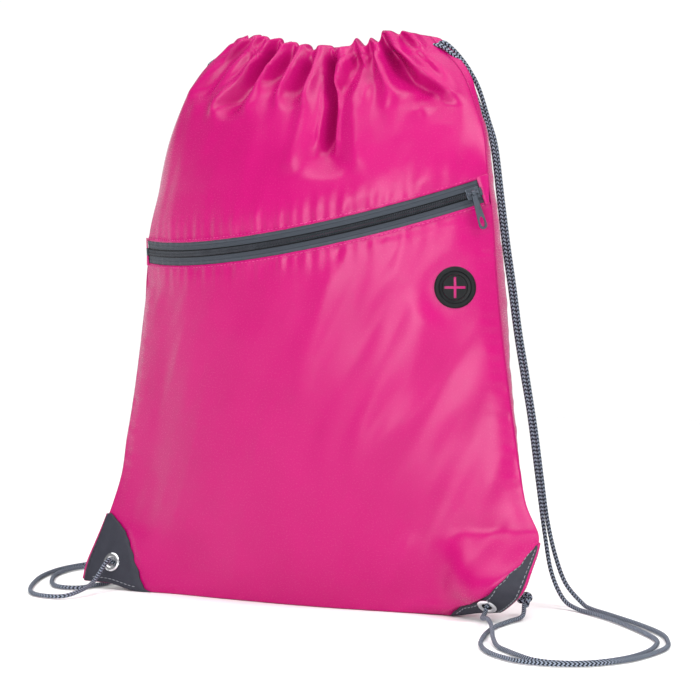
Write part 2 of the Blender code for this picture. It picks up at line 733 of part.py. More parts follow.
def corner(label, side, reach, eyelet_x, eyelet_z, panels):
    front = grid_object(f"patch_{label}_front", patch_rows(side, front_at_x, reach, 1), CHARCOAL,
                        PATCH_THICKNESS, 1)
    back = grid_object(f"patch_{label}_back", patch_rows(side, back_at_x, reach, -1), CHARCOAL,
                       PATCH_THICKNESS, 1)
    matrix = frame_at(front_at_x, eyelet_x, eyelet_z)
    for panel in (front, back, *panels):
        drill(panel, EYELET_HOLE, 0.030, matrix, f"{panel.name}_{label}_hole")
    face = PATCH_GAP + PATCH_THICKNESS + 0.0006
    rear = -EYELET_DEPTH
    turned(f"eyelet_{label}", [
        (EYELET_OUTER, face + 0.0004), (EYELET_OUTER, face), (EYELET_BARREL, face), (EYELET_BARREL, rear),
        (EYELET_BORE, rear), (EYELET_BORE, face + 0.0006), (EYELET_BARREL + 0.0002, face + 0.0012),
        (EYELET_OUTER - 0.0010, face + 0.0012)], NICKEL, matrix)
    turned(f"eyelet_washer_{label}", [
        (EYELET_OUTER, rear + 0.0012), (EYELET_OUTER, rear + 0.0002), (EYELET_BARREL + CLEARANCE, rear + 0.0002),
        (EYELET_BARREL + CLEARANCE, rear + 0.0012)], NICKEL, matrix)
    return matrix


left_eyelet = corner("left", -1, PATCH_REACH_LEFT, LEFT_EYELET_X, LEFT_EYELET_Z, (pocket_front, back_panel))
right_eyelet = corner("right", 1, PATCH_REACH_RIGHT, RIGHT_EYELET_X, RIGHT_EYELET_Z, (pocket_front, back_panel))


# ---- cords --------------------------------------------------------------------------------------
def smooth_route(route, count):
    """Evenly spaced points on a Catmull-Rom curve through the route's points."""
    points = [Vector(point) for point in route]
    fine = []
    for i in range(len(points) - 1):
        before = points[i - 1] if i else points[0] * 2 - points[1]
        after = points[i + 2] if i + 2 < len(points) else points[-1] * 2 - points[-2]
        start, end = points[i], points[i + 1]
        for s in between(0, 1, 16)[:-1]:
            fine.append(0.5 * (2 * start + (end - before) * s
                               + (2 * before - 5 * start + 4 * end - after) * s ** 2
                               + (3 * start - before - 3 * end + after) * s ** 3))
    fine.append(points[-1])
    lengths = [0.0]
    for previous, current in zip(fine, fine[1:]):
        lengths.append(lengths[-1] + (current - previous).length)
    result = []
    index = 0
    for step in range(count):
        target = lengths[-1] * step / (count - 1)
        while index < len(fine) - 2 and lengths[index + 1] < target:
            index += 1
        span = lengths[index + 1] - lengths[index]
        result.append(fine[index].lerp(fine[index + 1], (target - lengths[index]) / span))
    return result


def cord(name, route, count=CORD_POINTS):
    curve = bpy.data.curves.new(name, "CURVE")
    curve.dimensions = "3D"
    curve.bevel_depth = CORD_RADIUS
    curve.bevel_resolution = 2
    curve.use_fill_caps = True
    spline = curve.splines.new("POLY")
    spline.points.add(count - 1)
    for point, place in zip(spline.points, smooth_route(route, count)):
        point.co = (*place, 1)
    return add_object(name, curve, CORD_GREY)


TUNNEL_LIFT = 0.0042          # the two cords pass each other one above the other


def tunnel_cord(name, side, lift):
    """The stretch of one cord inside the hem: through the front, round the far side, back again."""
    def run(hem, start, end):
        route = []
        for t in between(start, end, 12):
            middle, up, outward = channel_frame(t, hem)
            route.append(middle + up * lift)
        return route
    front = run(-1, side * CHANNEL_END, -side * CHANNEL_END)
    back = run(1, -side * CHANNEL_END, side * CHANNEL_END)
    turn = (front[-1] + back[0]) / 2 + Vector((-side * 0.010, 0, -0.001))
    cord(name, front + [turn] + back, TUNNEL_POINTS)


tunnel_cord("cord_tunnel_right", 1, TUNNEL_LIFT)
tunnel_cord("cord_tunnel_left", -1, -TUNNEL_LIFT)


def tunnel_mouth(side, hem, lift):
    """Two points straight out of a hem's end, where a free strand meets the cord in the tunnel."""
    middle, up, outward = channel_frame(side * CHANNEL_END, hem)
    nearer, _, _ = channel_frame(side * (CHANNEL_END - 0.02), hem)
    direction = (middle - nearer).normalized()
    return [middle + up * lift + direction * away for away in (CLEARANCE * 3, 0.005)]


RIGHT_FRONT_ROUTE = [
    (0.0860, 0.0100, 0.3815), (0.0930, 0.0140, 0.3757), (0.0990, 0.0186, 0.3687), (0.1020, 0.0215, 0.3597),
    (0.1042, 0.0240, 0.3500),
    (0.1115, 0.0260, 0.3310), (0.1171, 0.0262, 0.3130), (0.1218, 0.0262, 0.2790), (0.1257, 0.0270, 0.2460),
    (0.1292, 0.0290, 0.2180), (0.1330, 0.0310, 0.1860), (0.1369, 0.0330, 0.1590), (0.1415, 0.0350, 0.1290),
    (0.1463, 0.0390, 0.0820), (0.1491, 0.0430, 0.0500), (0.1530, 0.0455, 0.0240), (0.1635, 0.0425, 0.0070),
    (0.1780, 0.0350, 0.0020), (0.1990, 0.0190, 0.0020), (0.2280, -0.0060, 0.0020), (0.2660, -0.0450, 0.0020),
    (0.2840, -0.0690, 0.0020), (0.2920, -0.0900, 0.0020), (0.2970, -0.1150, 0.0020), (0.2960, -0.1420, 0.0020),
    (0.2860, -0.1670, 0.0020), (0.2690, -0.1780, 0.0020), (0.2520, -0.1765, 0.0020), (0.2370, -0.1660, 0.0020),
    (0.2220, -0.1530, 0.0020), (0.2060, -0.1370, 0.0020), (0.1930, -0.1180, 0.0040), (0.1790, -0.0930, 0.0070),
    (0.1640, -0.0700, 0.0076), (0.1520, -0.0540, 0.0050),
]
RIGHT_REAR_ROUTE = [
    (0.0850, 0.0150, 0.3840), (0.0900, 0.0190, 0.3795), (0.0945, 0.0240, 0.3725), (0.0990, 0.0280, 0.3640),
    (0.1040, 0.0315, 0.3520),
    (0.1098, 0.0345, 0.3310), (0.1152, 0.0350, 0.3130), (0.1200, 0.0350, 0.2790), (0.1245, 0.0355, 0.2460),
    (0.1283, 0.0370, 0.2180), (0.1323, 0.0385, 0.1860), (0.1364, 0.0405, 0.1590), (0.1420, 0.0430, 0.1200),
    (0.1454, 0.0455, 0.0880), (0.1476, 0.0495, 0.0600), (0.1515, 0.0535, 0.0360), (0.1590, 0.0550, 0.0160),
    (0.1740, 0.0500, 0.0040), (0.1850, 0.0410, 0.0020), (0.2090, 0.0210, 0.0020), (0.2450, -0.0100, 0.0020),
    (0.2740, -0.0400, 0.0020), (0.2910, -0.0680, 0.0020), (0.3000, -0.0900, 0.0020), (0.3030, -0.1170, 0.0020),
    (0.3010, -0.1460, 0.0020), (0.2900, -0.1710, 0.0020), (0.2710, -0.1840, 0.0020), (0.2480, -0.1850, 0.0020),
    (0.2270, -0.1740, 0.0020), (0.2100, -0.1590, 0.0020), (0.1960, -0.1400, 0.0020), (0.1860, -0.1200, 0.0020),
    (0.1750, -0.0920, 0.0020), (0.1670, -0.0640, 0.0020), (0.1640, -0.0380, 0.0020), (0.1640, -0.0200, 0.0030),
]
LEFT_FRONT_ROUTE = [
    (-0.0950, 0.0105, 0.3740), (-0.1040, 0.0165, 0.3695), (-0.1080, 0.0280, 0.3600), (-0.1095, 0.0400, 0.3470),
    (-0.1120, 0.0520, 0.3150), (-0.1150, 0.0580, 0.2800), (-0.1190, 0.0630, 0.2400), (-0.1240, 0.0650, 0.2000),
    (-0.1300, 0.0670, 0.1600), (-0.1370, 0.0690, 0.1200), (-0.1450, 0.0710, 0.0800), (-0.1540, 0.0730, 0.0440),
    (-0.1660, 0.0780, 0.0160), (-0.1800, 0.0830, 0.0040), (-0.2000, 0.0840, 0.0042), (-0.2220, 0.0770, 0.0053),
    (-0.2390, 0.0620, 0.0036), (-0.2480, 0.0430, 0.0020), (-0.2420, 0.0140, 0.0020), (-0.2310, -0.0150, 0.0020),
    (-0.2110, -0.0520, 0.0020), (-0.1920, -0.0790, 0.0020), (-0.1740, -0.0900, 0.0020), (-0.1580, -0.0880, 0.0024),
    (-0.1540, -0.0720, 0.0050), (-0.1570, -0.0520, 0.0090),
]
LEFT_REAR_ROUTE = [
    (-0.0905, 0.0135, 0.3740), (-0.0965, 0.0185, 0.3715), (-0.1000, 0.0275, 0.3665), (-0.1015, 0.0380, 0.3595),
    (-0.1045, 0.0510, 0.3440),
    (-0.1080, 0.0600, 0.3150), (-0.1110, 0.0660, 0.2800), (-0.1150, 0.0700, 0.2400), (-0.1200, 0.0720, 0.2000),
    (-0.1260, 0.0740, 0.1600), (-0.1330, 0.0760, 0.1200), (-0.1410, 0.0780, 0.0800), (-0.1500, 0.0810, 0.0440),
    (-0.1620, 0.0870, 0.0160), (-0.1760, 0.0920, 0.0030), (-0.1960, 0.0910, 0.0020), (-0.2150, 0.0820, 0.0020),
    (-0.2310, 0.0660, 0.0020), (-0.2400, 0.0420, 0.0020), (-0.2340, 0.0120, 0.0020), (-0.2180, -0.0170, 0.0020),
    (-0.2020, -0.0380, 0.0020), (-0.1880, -0.0470, 0.0020), (-0.1760, -0.0440, 0.0020), (-0.1730, -0.0280, 0.0020),
    (-0.1730, -0.0100, 0.0020), (-0.1710, 0.0020, 0.0050),
]


def through_eyelet(matrix):
    """Two points in front of an eyelet and two behind it, on its axis."""
    return [matrix @ Vector((0, 0, height)) for height in (0.008, 0.002, -0.009, -0.0155)]


def knot(name, place):
    """The overhand knot that joins a cord's two ends behind its eyelet."""
    mesh = bpy.data.meshes.new(name)
    bm = bmesh.new()
    bmesh.ops.create_uvsphere(bm, u_segments=12, v_segments=8, radius=KNOT_RADIUS)
    bmesh.ops.scale(bm, vec=(1.15, 1.0, 0.85), verts=bm.verts)
    bm.to_mesh(mesh)
    bm.free()
    mesh.shade_smooth()
    thing = add_object(name, mesh, CORD_GREY)
    thing.location = place
    return thing


RIGHT_KNOT = Vector((0.1560, 0.0000, 0.0110))
LEFT_KNOT = Vector((-0.1600, 0.0060, 0.0150))


def toward(start, end, short):
    """The point short of end on the way from start."""
    return end + (Vector(start) - end).normalized() * short


def strands(label, side, lift, eyelet, front_route, rear_route, knot_place):
    knot(f"knot_{label}", knot_place)
    entry = through_eyelet(eyelet)
    front = [*tunnel_mouth(side, -1, lift), *front_route, *entry]
    front.append(toward(entry[-1], knot_place, KNOT_RADIUS * 1.2 + CLEARANCE))
    cord(f"cord_{label}_front", front)
    rear = [*tunnel_mouth(side, 1, lift), *rear_route]
    rear.append(toward(rear_route[-1], knot_place, KNOT_RADIUS * 1.2 + CLEARANCE))
    cord(f"cord_{label}_rear", rear)


strands("right", 1, TUNNEL_LIFT, right_eyelet, RIGHT_FRONT_ROUTE, RIGHT_REAR_ROUTE, RIGHT_KNOT)
strands("left", -1, -TUNNEL_LIFT, left_eyelet, LEFT_FRONT_ROUTE, LEFT_REAR_ROUTE, LEFT_KNOT)
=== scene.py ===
"""Drawstring backpack: the looks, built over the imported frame. Metres, +Z up, the front faces -Y."""
from math import atan2, copysign, cos, exp, pi, radians, sin, sqrt

import bmesh
import bpy
from mathutils import Matrix, Vector, noise


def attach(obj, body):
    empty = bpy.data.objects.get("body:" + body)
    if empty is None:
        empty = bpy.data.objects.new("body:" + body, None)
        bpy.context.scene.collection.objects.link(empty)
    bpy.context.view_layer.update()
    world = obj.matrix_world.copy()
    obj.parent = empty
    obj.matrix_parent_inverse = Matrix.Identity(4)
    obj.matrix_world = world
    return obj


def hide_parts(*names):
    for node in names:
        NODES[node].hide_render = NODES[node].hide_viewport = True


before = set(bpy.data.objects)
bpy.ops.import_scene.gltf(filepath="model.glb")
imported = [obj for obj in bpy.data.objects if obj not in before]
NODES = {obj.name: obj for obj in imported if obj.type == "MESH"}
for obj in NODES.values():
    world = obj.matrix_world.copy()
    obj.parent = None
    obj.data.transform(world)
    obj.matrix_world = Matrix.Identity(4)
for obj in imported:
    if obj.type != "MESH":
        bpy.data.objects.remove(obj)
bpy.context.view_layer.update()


# ---- camera ----
CAMERA_AIM = (0.0155, 0.0092, 0.1736)
LIGHT_AIM = (0, 0, 0.18)


def stand(name, data, aim, azimuth, elevation, distance):
    """Stand a camera or light off the point aim, azimuth degrees right of the front, and turn it there."""
    a, e = radians(azimuth), radians(elevation)
    direction = Vector((sin(a) * cos(e), -cos(a) * cos(e), sin(e)))
    thing = bpy.data.objects.new(name, data)
    thing.location = Vector(aim) + direction * distance
    thing.rotation_euler = (-direction).to_track_quat("-Z", "Y").to_euler()
    bpy.context.scene.collection.objects.link(thing)
    return thing


def make_camera():
    data = bpy.data.cameras.new("camera")
    data.lens = 163.98
    data.sensor_width = 36.0
    data.clip_end = 50.0
    bpy.context.scene.camera = stand("camera", data, CAMERA_AIM, 30, 3.4, 2.2)


make_camera()


# ---- the bag's form ----
# Height, half width left, half width right, seam y, front depth, back depth, front power, back power.
STATIONS = (
    (0.000, 0.183, 0.152, -0.022, 0.01, 0.048, 2.6, 5.0),
    (0.012, 0.1815, 0.164, -0.02, 0.015, 0.056, 2.4, 5.0),
    (0.03, 0.1765, 0.1775, -0.017, 0.024, 0.062, 2.0, 4.0),
    (0.05, 0.17, 0.177, -0.015, 0.031, 0.066, 1.6, 2.8),
    (0.08, 0.16, 0.161, -0.013, 0.038, 0.069, 1.2, 1.8),
    (0.13, 0.1495, 0.15, -0.011, 0.045, 0.07, 1.0, 1.2),
    (0.2, 0.14, 0.139, -0.009, 0.05, 0.071, 0.9, 1.0),
    (0.26, 0.1345, 0.1325, -0.007, 0.051, 0.067, 0.9, 1.0),
    (0.31, 0.1275, 0.1265, -0.002, 0.046, 0.058, 0.8, 1.0),
    (0.345, 0.116, 0.114, 0.004, 0.036, 0.042, 0.7, 1.0),
    (0.366, 0.103, 0.101, 0.009, 0.027, 0.029, 0.6, 1.0),
    (0.381, 0.086, 0.084, 0.012, 0.021, 0.021, 0.5, 1.0),
    (0.394, 0.072, 0.071, 0.012, 0.018, 0.018, 0.5, 1.0),
)
# The columns of STATIONS.
HALF_LEFT, HALF_RIGHT, SEAM_Y, FRONT_DEPTH, BACK_DEPTH, FRONT_POWER, BACK_POWER = range(1, 8)
TOP = STATIONS[-1][0]
SEAM_GAP = 0.0002
ZIP_LEFT = Vector((-0.137, -0.0125, 0.24))
ZIP_MIDDLE = Vector((0.0, -0.06, 0.249))
ZIP_RIGHT = Vector((0.13, -0.0105, 0.2845))
ZIP_LEAN = -0.25              # how the tape leans out of its circle's axis
ZIP_BLEND = 0.045             # how far above and below the zip the front turns to meet it
FABRIC_EDGE = 0.008           # from the zip's middle line to the fabric on each side
SIDE_EASE = 0.0022            # how far the cloth stands out past the form at the sides
FRONT_EASE = 0.0011           # and in front


def station_value(column, z):
    z = min(max(z, 0.0), TOP)
    last = len(STATIONS) - 1
    index = max(i for i in range(last) if STATIONS[i][0] <= z)

    def slope(i):
        low, high = max(i - 1, 0), min(i + 1, last)
        return (STATIONS[high][column] - STATIONS[low][column]) / (STATIONS[high][0] - STATIONS[low][0])

    below, above = STATIONS[index], STATIONS[index + 1]
    span = above[0] - below[0]
    s = (z - below[0]) / span
    return ((2 * s ** 3 - 3 * s ** 2 + 1) * below[column] + (s ** 3 - 2 * s ** 2 + s) * span * slope(index)
            + (3 * s ** 2 - 2 * s ** 3) * above[column] + (s ** 3 - s ** 2) * span * slope(index + 1))


def smoothstep(low, high, value):
    s = min(max((value - low) / (high - low), 0.0), 1.0)
    return s * s * (3 - 2 * s)


def between(low, high, count):
    return [low + (high - low) * i / count for i in range(count + 1)]


def turns(sides):
    """The angles of a ring's corners."""
    return between(0, 2 * pi, sides)[:-1]


def half_width(t, z):
    if t > 0:
        ease = SIDE_EASE * smoothstep(0.06, 0.1, z) * (1 - smoothstep(0.31, 0.35, z))
        return station_value(HALF_RIGHT, z) + ease
    ease = SIDE_EASE * smoothstep(0.08, 0.11, z) * (1 - smoothstep(0.215, 0.24, z))
    return station_value(HALF_LEFT, z) + ease


def form_depth(t, z):
    """How far the smooth front stands out of the seam's plane."""
    depth = station_value(FRONT_DEPTH, z) * (1 - t * t) ** station_value(FRONT_POWER, z)
    return depth + FRONT_EASE * (1 - smoothstep(0.93, 1.0, abs(t)))


def settle(point):
    """Carry a point of the straight form to where the standing bag's corners have it."""
    x, y, z = point
    # The left corner comes forward and up a little, and the right one is turned up from underneath.
    left = smoothstep(0.1, 0.142, -x) * (1 - smoothstep(0.0, 0.06, z))
    y -= 0.004 * left
    z += 0.0045 * smoothstep(0.135, 0.165, -x) * (1 - smoothstep(0.0, 0.06, z))
    twist = smoothstep(0.1, 0.142, x) * (1 - smoothstep(0.02, 0.06, z))
    if twist > 0:
        seam = station_value(SEAM_Y, z)
        turn = Matrix.Rotation(radians(52) * twist, 3, "X")
        moved = turn @ Vector((0, y - seam, z - 0.008))
        y = seam + moved.y - 0.012 * twist
        z = 0.008 + moved.z + 0.0035 * twist
    return Vector((x, y, max(z, 0.0003)))


def circle_through(first, second, third):
    to_second, to_third = second - first, third - first
    normal = to_second.cross(to_third).normalized()
    rows = Matrix((to_second, to_third, normal))
    centre = first + rows.inverted() @ Vector((to_second.length_squared / 2, to_third.length_squared / 2, 0))
    return centre, (first - centre).length, normal


zip_centre, zip_radius, zip_axis = circle_through(ZIP_LEFT, ZIP_MIDDLE, ZIP_RIGHT)
zip_start = (ZIP_LEFT - zip_centre).normalized()
zip_side = zip_axis.cross(zip_start)
ZIP_SWEEP = atan2((ZIP_RIGHT - zip_centre).dot(zip_side), (ZIP_RIGHT - zip_centre).dot(zip_start))


def zip_point(angle, across_distance=0.0, proud=0.0):
    outward = zip_start * cos(angle) + zip_side * sin(angle)
    across = (zip_axis + outward * ZIP_LEAN).normalized()
    face = zip_axis.cross(outward).cross(across)
    return zip_centre + outward * zip_radius + across * across_distance + face * proud


def zip_angle_at(t, across_distance):
    low, high = -0.1, ZIP_SWEEP + 0.1
    for _ in range(26):
        middle = (low + high) / 2
        point = zip_point(middle, across_distance)
        if point.x < t * half_width(t, point.z):
            low = middle
        else:
            high = middle
    return low


level_cache = {}


def zip_level(t):
    """The zip at the panel's column t: its middle point, its tape's lean (y over z) and the form's y."""
    key = round(t, 3)
    if key not in level_cache:
        angle = zip_angle_at(key, 0.0)
        middle = zip_point(angle)
        run = (zip_point(angle, 0.01) - middle) / 0.01
        form_y = station_value(SEAM_Y, middle.z) - SEAM_GAP - form_depth(key, middle.z)
        level_cache[key] = (middle, run.y / run.z, form_y)
    return level_cache[key]


def front_point(t, z):
    t = min(max(t, -1.0), 1.0)
    y = station_value(SEAM_Y, z) - SEAM_GAP - form_depth(t, z)
    middle, lean, form_y = zip_level(t)
    near = max(0.0, 1 - abs(z - middle.z) / ZIP_BLEND)
    if near > 0:
        blend = near * near * (3 - 2 * near)
        y += blend * (middle.y - form_y + lean * (z - middle.z) - (y - form_y))
    return Vector((t * half_width(t, z), y, z))


def back_point(t, z):
    wide = sin(t * pi / 2)
    depth = station_value(BACK_DEPTH, z) * max(0.0, cos(t * pi / 2)) ** station_value(BACK_POWER, z)
    edge = front_point(copysign(1.0, t), z).y - station_value(SEAM_Y, z) + SEAM_GAP
    depth += edge * smoothstep(0.86, 1.0, abs(wide))
    return Vector((wide * half_width(t, z), station_value(SEAM_Y, z) + SEAM_GAP + depth, z))


# ---- materials ----
def set_stops(ramp, stops):
    elements = ramp.color_ramp.elements
    while len(elements) < len(stops):
        elements.new(0.5)
    for element, (position, colour) in zip(elements, stops):
        element.position = position
        element.color = (*colour, 1)


class Look:
    """A node material: a Principled shader with helpers for the nodes in front of it."""

    def __init__(self, name, roughness, metallic=0.0, specular=0.5, sheen=0.0):
        self.material = bpy.data.materials.new(name)
        self.material.use_nodes = True
        self.nodes = self.material.node_tree.nodes
        self.links = self.material.node_tree.links
        self.shader = self.nodes["Principled BSDF"]
        self.shader.inputs["Roughness"].default_value = roughness
        self.shader.inputs["Metallic"].default_value = metallic
        self.shader.inputs["Specular IOR Level"].default_value = specular
        self.shader.inputs["Sheen Weight"].default_value = sheen
        self.shader.inputs["Sheen Roughness"].default_value = 0.4

    def node(self, kind, **values):
        made = self.nodes.new(kind)
        for key, value in values.items():
            if hasattr(made, key):
                setattr(made, key, value)
            else:
                made.inputs[key.replace("_", " ")].default_value = value
        return made

    def link(self, source, target):
        self.links.new(source, target)

    def uv(self):
        return self.node("ShaderNodeTexCoord").outputs["UV"]

    def place(self):
        return self.node("ShaderNodeTexCoord").outputs["Object"]

    def split(self, vector):
        parts = self.node("ShaderNodeSeparateXYZ")
        self.link(vector, parts.inputs[0])
        return parts.outputs

    def math(self, operation, first, second=None, third=None):
        made = self.node("ShaderNodeMath", operation=operation)
        for slot, value in zip(made.inputs, (first, second, third)):
            if value is None:
                continue
            if isinstance(value, (int, float)):
                slot.default_value = value
            else:
                self.link(value, slot)
        return made.outputs[0]

    def noise(self, vector, scale, detail=3.0, roughness=0.55):
        made = self.node("ShaderNodeTexNoise", Scale=scale, Detail=detail, Roughness=roughness)
        self.link(vector, made.inputs["Vector"])
        return made.outputs["Fac"]

    def ramp(self, factor, *stops):
        made = self.node("ShaderNodeValToRGB")
        set_stops(made, stops)
        self.link(factor, made.inputs[0])
        return made.outputs[0]

    def spread(self, factor, low, high, to_low, to_high):
        made = self.node("ShaderNodeMapRange")
        self.link(factor, made.inputs[0])
        for slot, value in zip(made.inputs[1:5], (low, high, to_low, to_high)):
            slot.default_value = value
        return made.outputs[0]

    def colour(self, source):
        self.link(source, self.shader.inputs["Base Color"])

    def rough(self, source):
        self.link(source, self.shader.inputs["Roughness"])

    def bump(self, *heights):
        """Bump from (height, strength, distance) triples, one on top of the other."""
        normal = None
        for height, strength, distance in heights:
            made = self.node("ShaderNodeBump", Strength=strength, Distance=distance)
            self.link(height, made.inputs["Height"])
            if normal is not None:
                self.link(normal, made.inputs["Normal"])
            normal = made.outputs[0]
        self.link(normal, self.shader.inputs["Normal"])


PINK_DARK = (0.338, 0.0025, 0.1)
PINK_LIGHT = (0.38, 0.004, 0.115)
THREAD_PITCH = 0.00055


def pink_fabric(name, on_uv):
    """Glossy plain weave, laid on the UV map in metres or, without one, on the object's own axes."""
    look = Look(name, 0.25, specular=0.21)
    vector = look.uv() if on_uv else look.place()
    warp, weft, up = look.split(vector)
    if not on_uv:
        warp, weft = look.math("ADD", warp, weft), up
    threads = look.math("SINE", look.math("MULTIPLY", warp, 2 * pi / THREAD_PITCH))
    filling = look.math("SINE", look.math("MULTIPLY", weft, 2 * pi / THREAD_PITCH))
    weave = look.math("MULTIPLY", threads, filling)
    slub = look.noise(vector, 900.0, 2.0)
    cloudy = look.noise(vector, 14.0, 3.0)
    tone = look.math("ADD", look.math("MULTIPLY", cloudy, 0.8), look.math("MULTIPLY", slub, 0.2))
    look.colour(look.ramp(tone, (0.3, PINK_DARK), (0.7, PINK_LIGHT)))
    look.rough(look.spread(slub, 0.3, 0.7, 0.22, 0.29))
    crumple = look.noise(vector, 70.0, 3.0, 0.5)
    look.bump((weave, 0.1, 0.0002), (slub, 0.05, 0.0003), (crumple, 0.1, 0.0012))
    return look.material


PINK = pink_fabric("satin_polyester", True)
PINK_INNER = pink_fabric("satin_polyester_inner", False)


def tape_cloth():
    look = Look("zip_tape_twill", 0.8, specular=0.18, sheen=0.1)
    across, along, _ = look.split(look.uv())
    size = look.math("ABSOLUTE", along)
    twill = look.math("SINE", look.math("MULTIPLY", look.math("ADD", across, along), 2 * pi / 0.0009))
    ribs = look.math("SINE", look.math("MULTIPLY", along, 2 * pi / 0.0011))
    # The near-black first stop, out to 0.29 of the tape's width, is painted shade: it darkens the tape in the
    # crevice beside the coil.
    edge = look.ramp(look.spread(size, 0.0, 0.0085, 0.0, 1.0),
                     (0.29, (0.002, 0.003, 0.004)), (0.33, (0.046, 0.054, 0.068)),
                     (0.6, (0.042, 0.05, 0.063)), (0.63, (0.03, 0.036, 0.046)),
                     (0.67, (0.03, 0.036, 0.046)), (0.7, (0.055, 0.064, 0.08)),
                     (0.96, (0.05, 0.058, 0.073)))
    shade = look.node("ShaderNodeMix", data_type="RGBA", blend_type="MULTIPLY")
    shade.inputs[0].default_value = 1.0
    look.link(edge, shade.inputs[6])
    look.link(look.ramp(look.spread(twill, -1, 1, 0, 1), (0.0, (0.72, 0.72, 0.72)), (1.0, (1.1, 1.1, 1.1))),
              shade.inputs[7])
    look.colour(shade.outputs[2])
    look.bump((twill, 0.35, 0.0003), (ribs, 0.25, 0.0002))
    return look.material


def grained(name, colour_low, colour_high, roughness, scale, depth, specular=0.4, metallic=0.0):
    """Moulded, cast or coated stock, or thread, with a fine and a broad grain."""
    look = Look(name, roughness, metallic, specular)
    vector = look.place()
    fine = look.noise(vector, scale, 4.0)
    broad = look.noise(vector, scale * 0.08, 3.0)
    look.colour(look.ramp(look.math("MULTIPLY_ADD", fine, 0.5, look.math("MULTIPLY", broad, 0.5)),
                          (0.35, colour_low), (0.65, colour_high)))
    look.rough(look.spread(broad, 0.3, 0.7, roughness - 0.06, roughness + 0.06))
    look.bump((fine, depth, 0.0004))
    return look.material


def braid():
    """A herringbone braid: diagonals that turn back eight times round the cord, from UV (round, metres)."""
    look = Look("herringbone_braid", 0.75, specular=0.1, sheen=0.04)
    around, along, _ = look.split(look.uv())
    zigzag = look.math("PINGPONG", look.math("MULTIPLY", around, 8.0), 1.0)
    slant = look.math("ADD", look.math("MULTIPLY", along, 1 / 0.0026), look.math("MULTIPLY", zigzag, 0.5))
    wave = look.math("SINE", look.math("MULTIPLY", slant, 2 * pi))
    rib = look.math("ABSOLUTE", look.math("SINE", look.math("MULTIPLY", around, 8 * pi)))
    fuzz = look.noise(look.place(), 1500.0, 2.0)
    mixed = look.math("ADD", look.math("MULTIPLY", wave, 0.5), look.math("MULTIPLY", fuzz, 0.6))
    look.colour(look.ramp(look.spread(mixed, -0.35, 0.95, 0.0, 1.0), (0.4, (0.006, 0.008, 0.012)),
                          (0.66, (0.235, 0.27, 0.34))))
    look.bump((wave, 0.6, 0.0004), (rib, 0.5, 0.0004), (fuzz, 0.2, 0.0002))
    return look.material


TAPE = tape_cloth()
# Name, dark and light colour, roughness, grain scale, bump, specular level, metallic.
COIL = grained("nylon_coil", (0.016, 0.018, 0.023), (0.034, 0.038, 0.047), 0.42, 1800.0, 0.1, 0.2)
RUBBER = grained("moulded_rubber", (0.0035, 0.0038, 0.0045), (0.007, 0.0075, 0.009), 0.42, 1500.0, 0.2, 0.13)
SLATE = grained("slate_die_cast", (0.048, 0.057, 0.072), (0.072, 0.084, 0.105), 0.38, 1300.0, 0.1, 0.4, 0.65)
NICKEL = grained("nickel_plate", (0.62, 0.63, 0.66), (0.76, 0.77, 0.79), 0.2, 900.0, 0.04, 0.5, 1.0)
PATCH = grained("coated_patch_cloth", (0.022, 0.023, 0.032), (0.031, 0.032, 0.043), 0.55, 2300.0, 0.3, 0.18)
THREAD_GREY = grained("patch_thread", (0.16, 0.17, 0.19), (0.24, 0.25, 0.28), 0.7, 2600.0, 0.3)
THREAD_DARK = grained("patch_edge_thread", (0.01, 0.011, 0.014), (0.02, 0.022, 0.028), 0.7, 2600.0, 0.3)
THREAD_PINK = grained("pink_thread", PINK_DARK, (0.7, 0.05, 0.28), 0.6, 2600.0, 0.3)
BRAID = braid()


# ---- mesh helpers ----
def new_object(name, mesh, look):
    thing = bpy.data.objects.new(name, mesh)
    bpy.context.scene.collection.objects.link(thing)
    mesh.materials.clear()
    mesh.materials.append(look)
    return thing


def put(thing, slot, *nodes):
    """Fix a piece to the bag and hide the CAD nodes it replaces. The slot argument is not used."""
    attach(thing, "bag")
    if nodes:
        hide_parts(*nodes)


def build_mesh(name, points, faces, uvs=None):
    mesh = bpy.data.meshes.new(name)
    mesh.from_pydata([tuple(p) for p in points], [], faces)
    if uvs is not None:
        layer = mesh.uv_layers.new(name="UVMap")
        for loop in mesh.loops:
            layer.data[loop.index].uv = uvs[loop.vertex_index]
    mesh.shade_smooth()
    return mesh


def grid_faces(rows, columns, flip=False):
    faces = []
    for r in range(rows - 1):
        for c in range(columns - 1):
            a = r * columns + c
            face = (a, a + 1, a + columns + 1, a + columns)
            faces.append(face[::-1] if flip else face)
    return faces


def ring_faces(first, rings, sides):
    """The faces of a capped tube whose rings of vertices start at number first."""
    faces = []
    for ring in range(rings - 1):
        for k in range(sides):
            a, b = first + ring * sides + k, first + ring * sides + (k + 1) % sides
            faces.append((a, b, b + sides, a + sides))
    faces.append(tuple(first + k for k in reversed(range(sides))))
    faces.append(tuple(first + (rings - 1) * sides + k for k in range(sides)))
    return faces


def lengths_along(line):
    lengths = [0.0]
    for a, b in zip(line, line[1:]):
        lengths.append(lengths[-1] + (b - a).length)
    return lengths


def evenly(line, count):
    """Where count evenly spaced points fall on a line: the segment and the share of it. And its length."""
    lengths = lengths_along(line)
    places, index = [], 0
    for i in range(count):
        target = lengths[-1] * i / (count - 1)
        while index < len(line) - 2 and lengths[index + 1] < target:
            index += 1
        places.append((index, (target - lengths[index]) / max(lengths[index + 1] - lengths[index], 1e-9)))
    return places, lengths[-1]


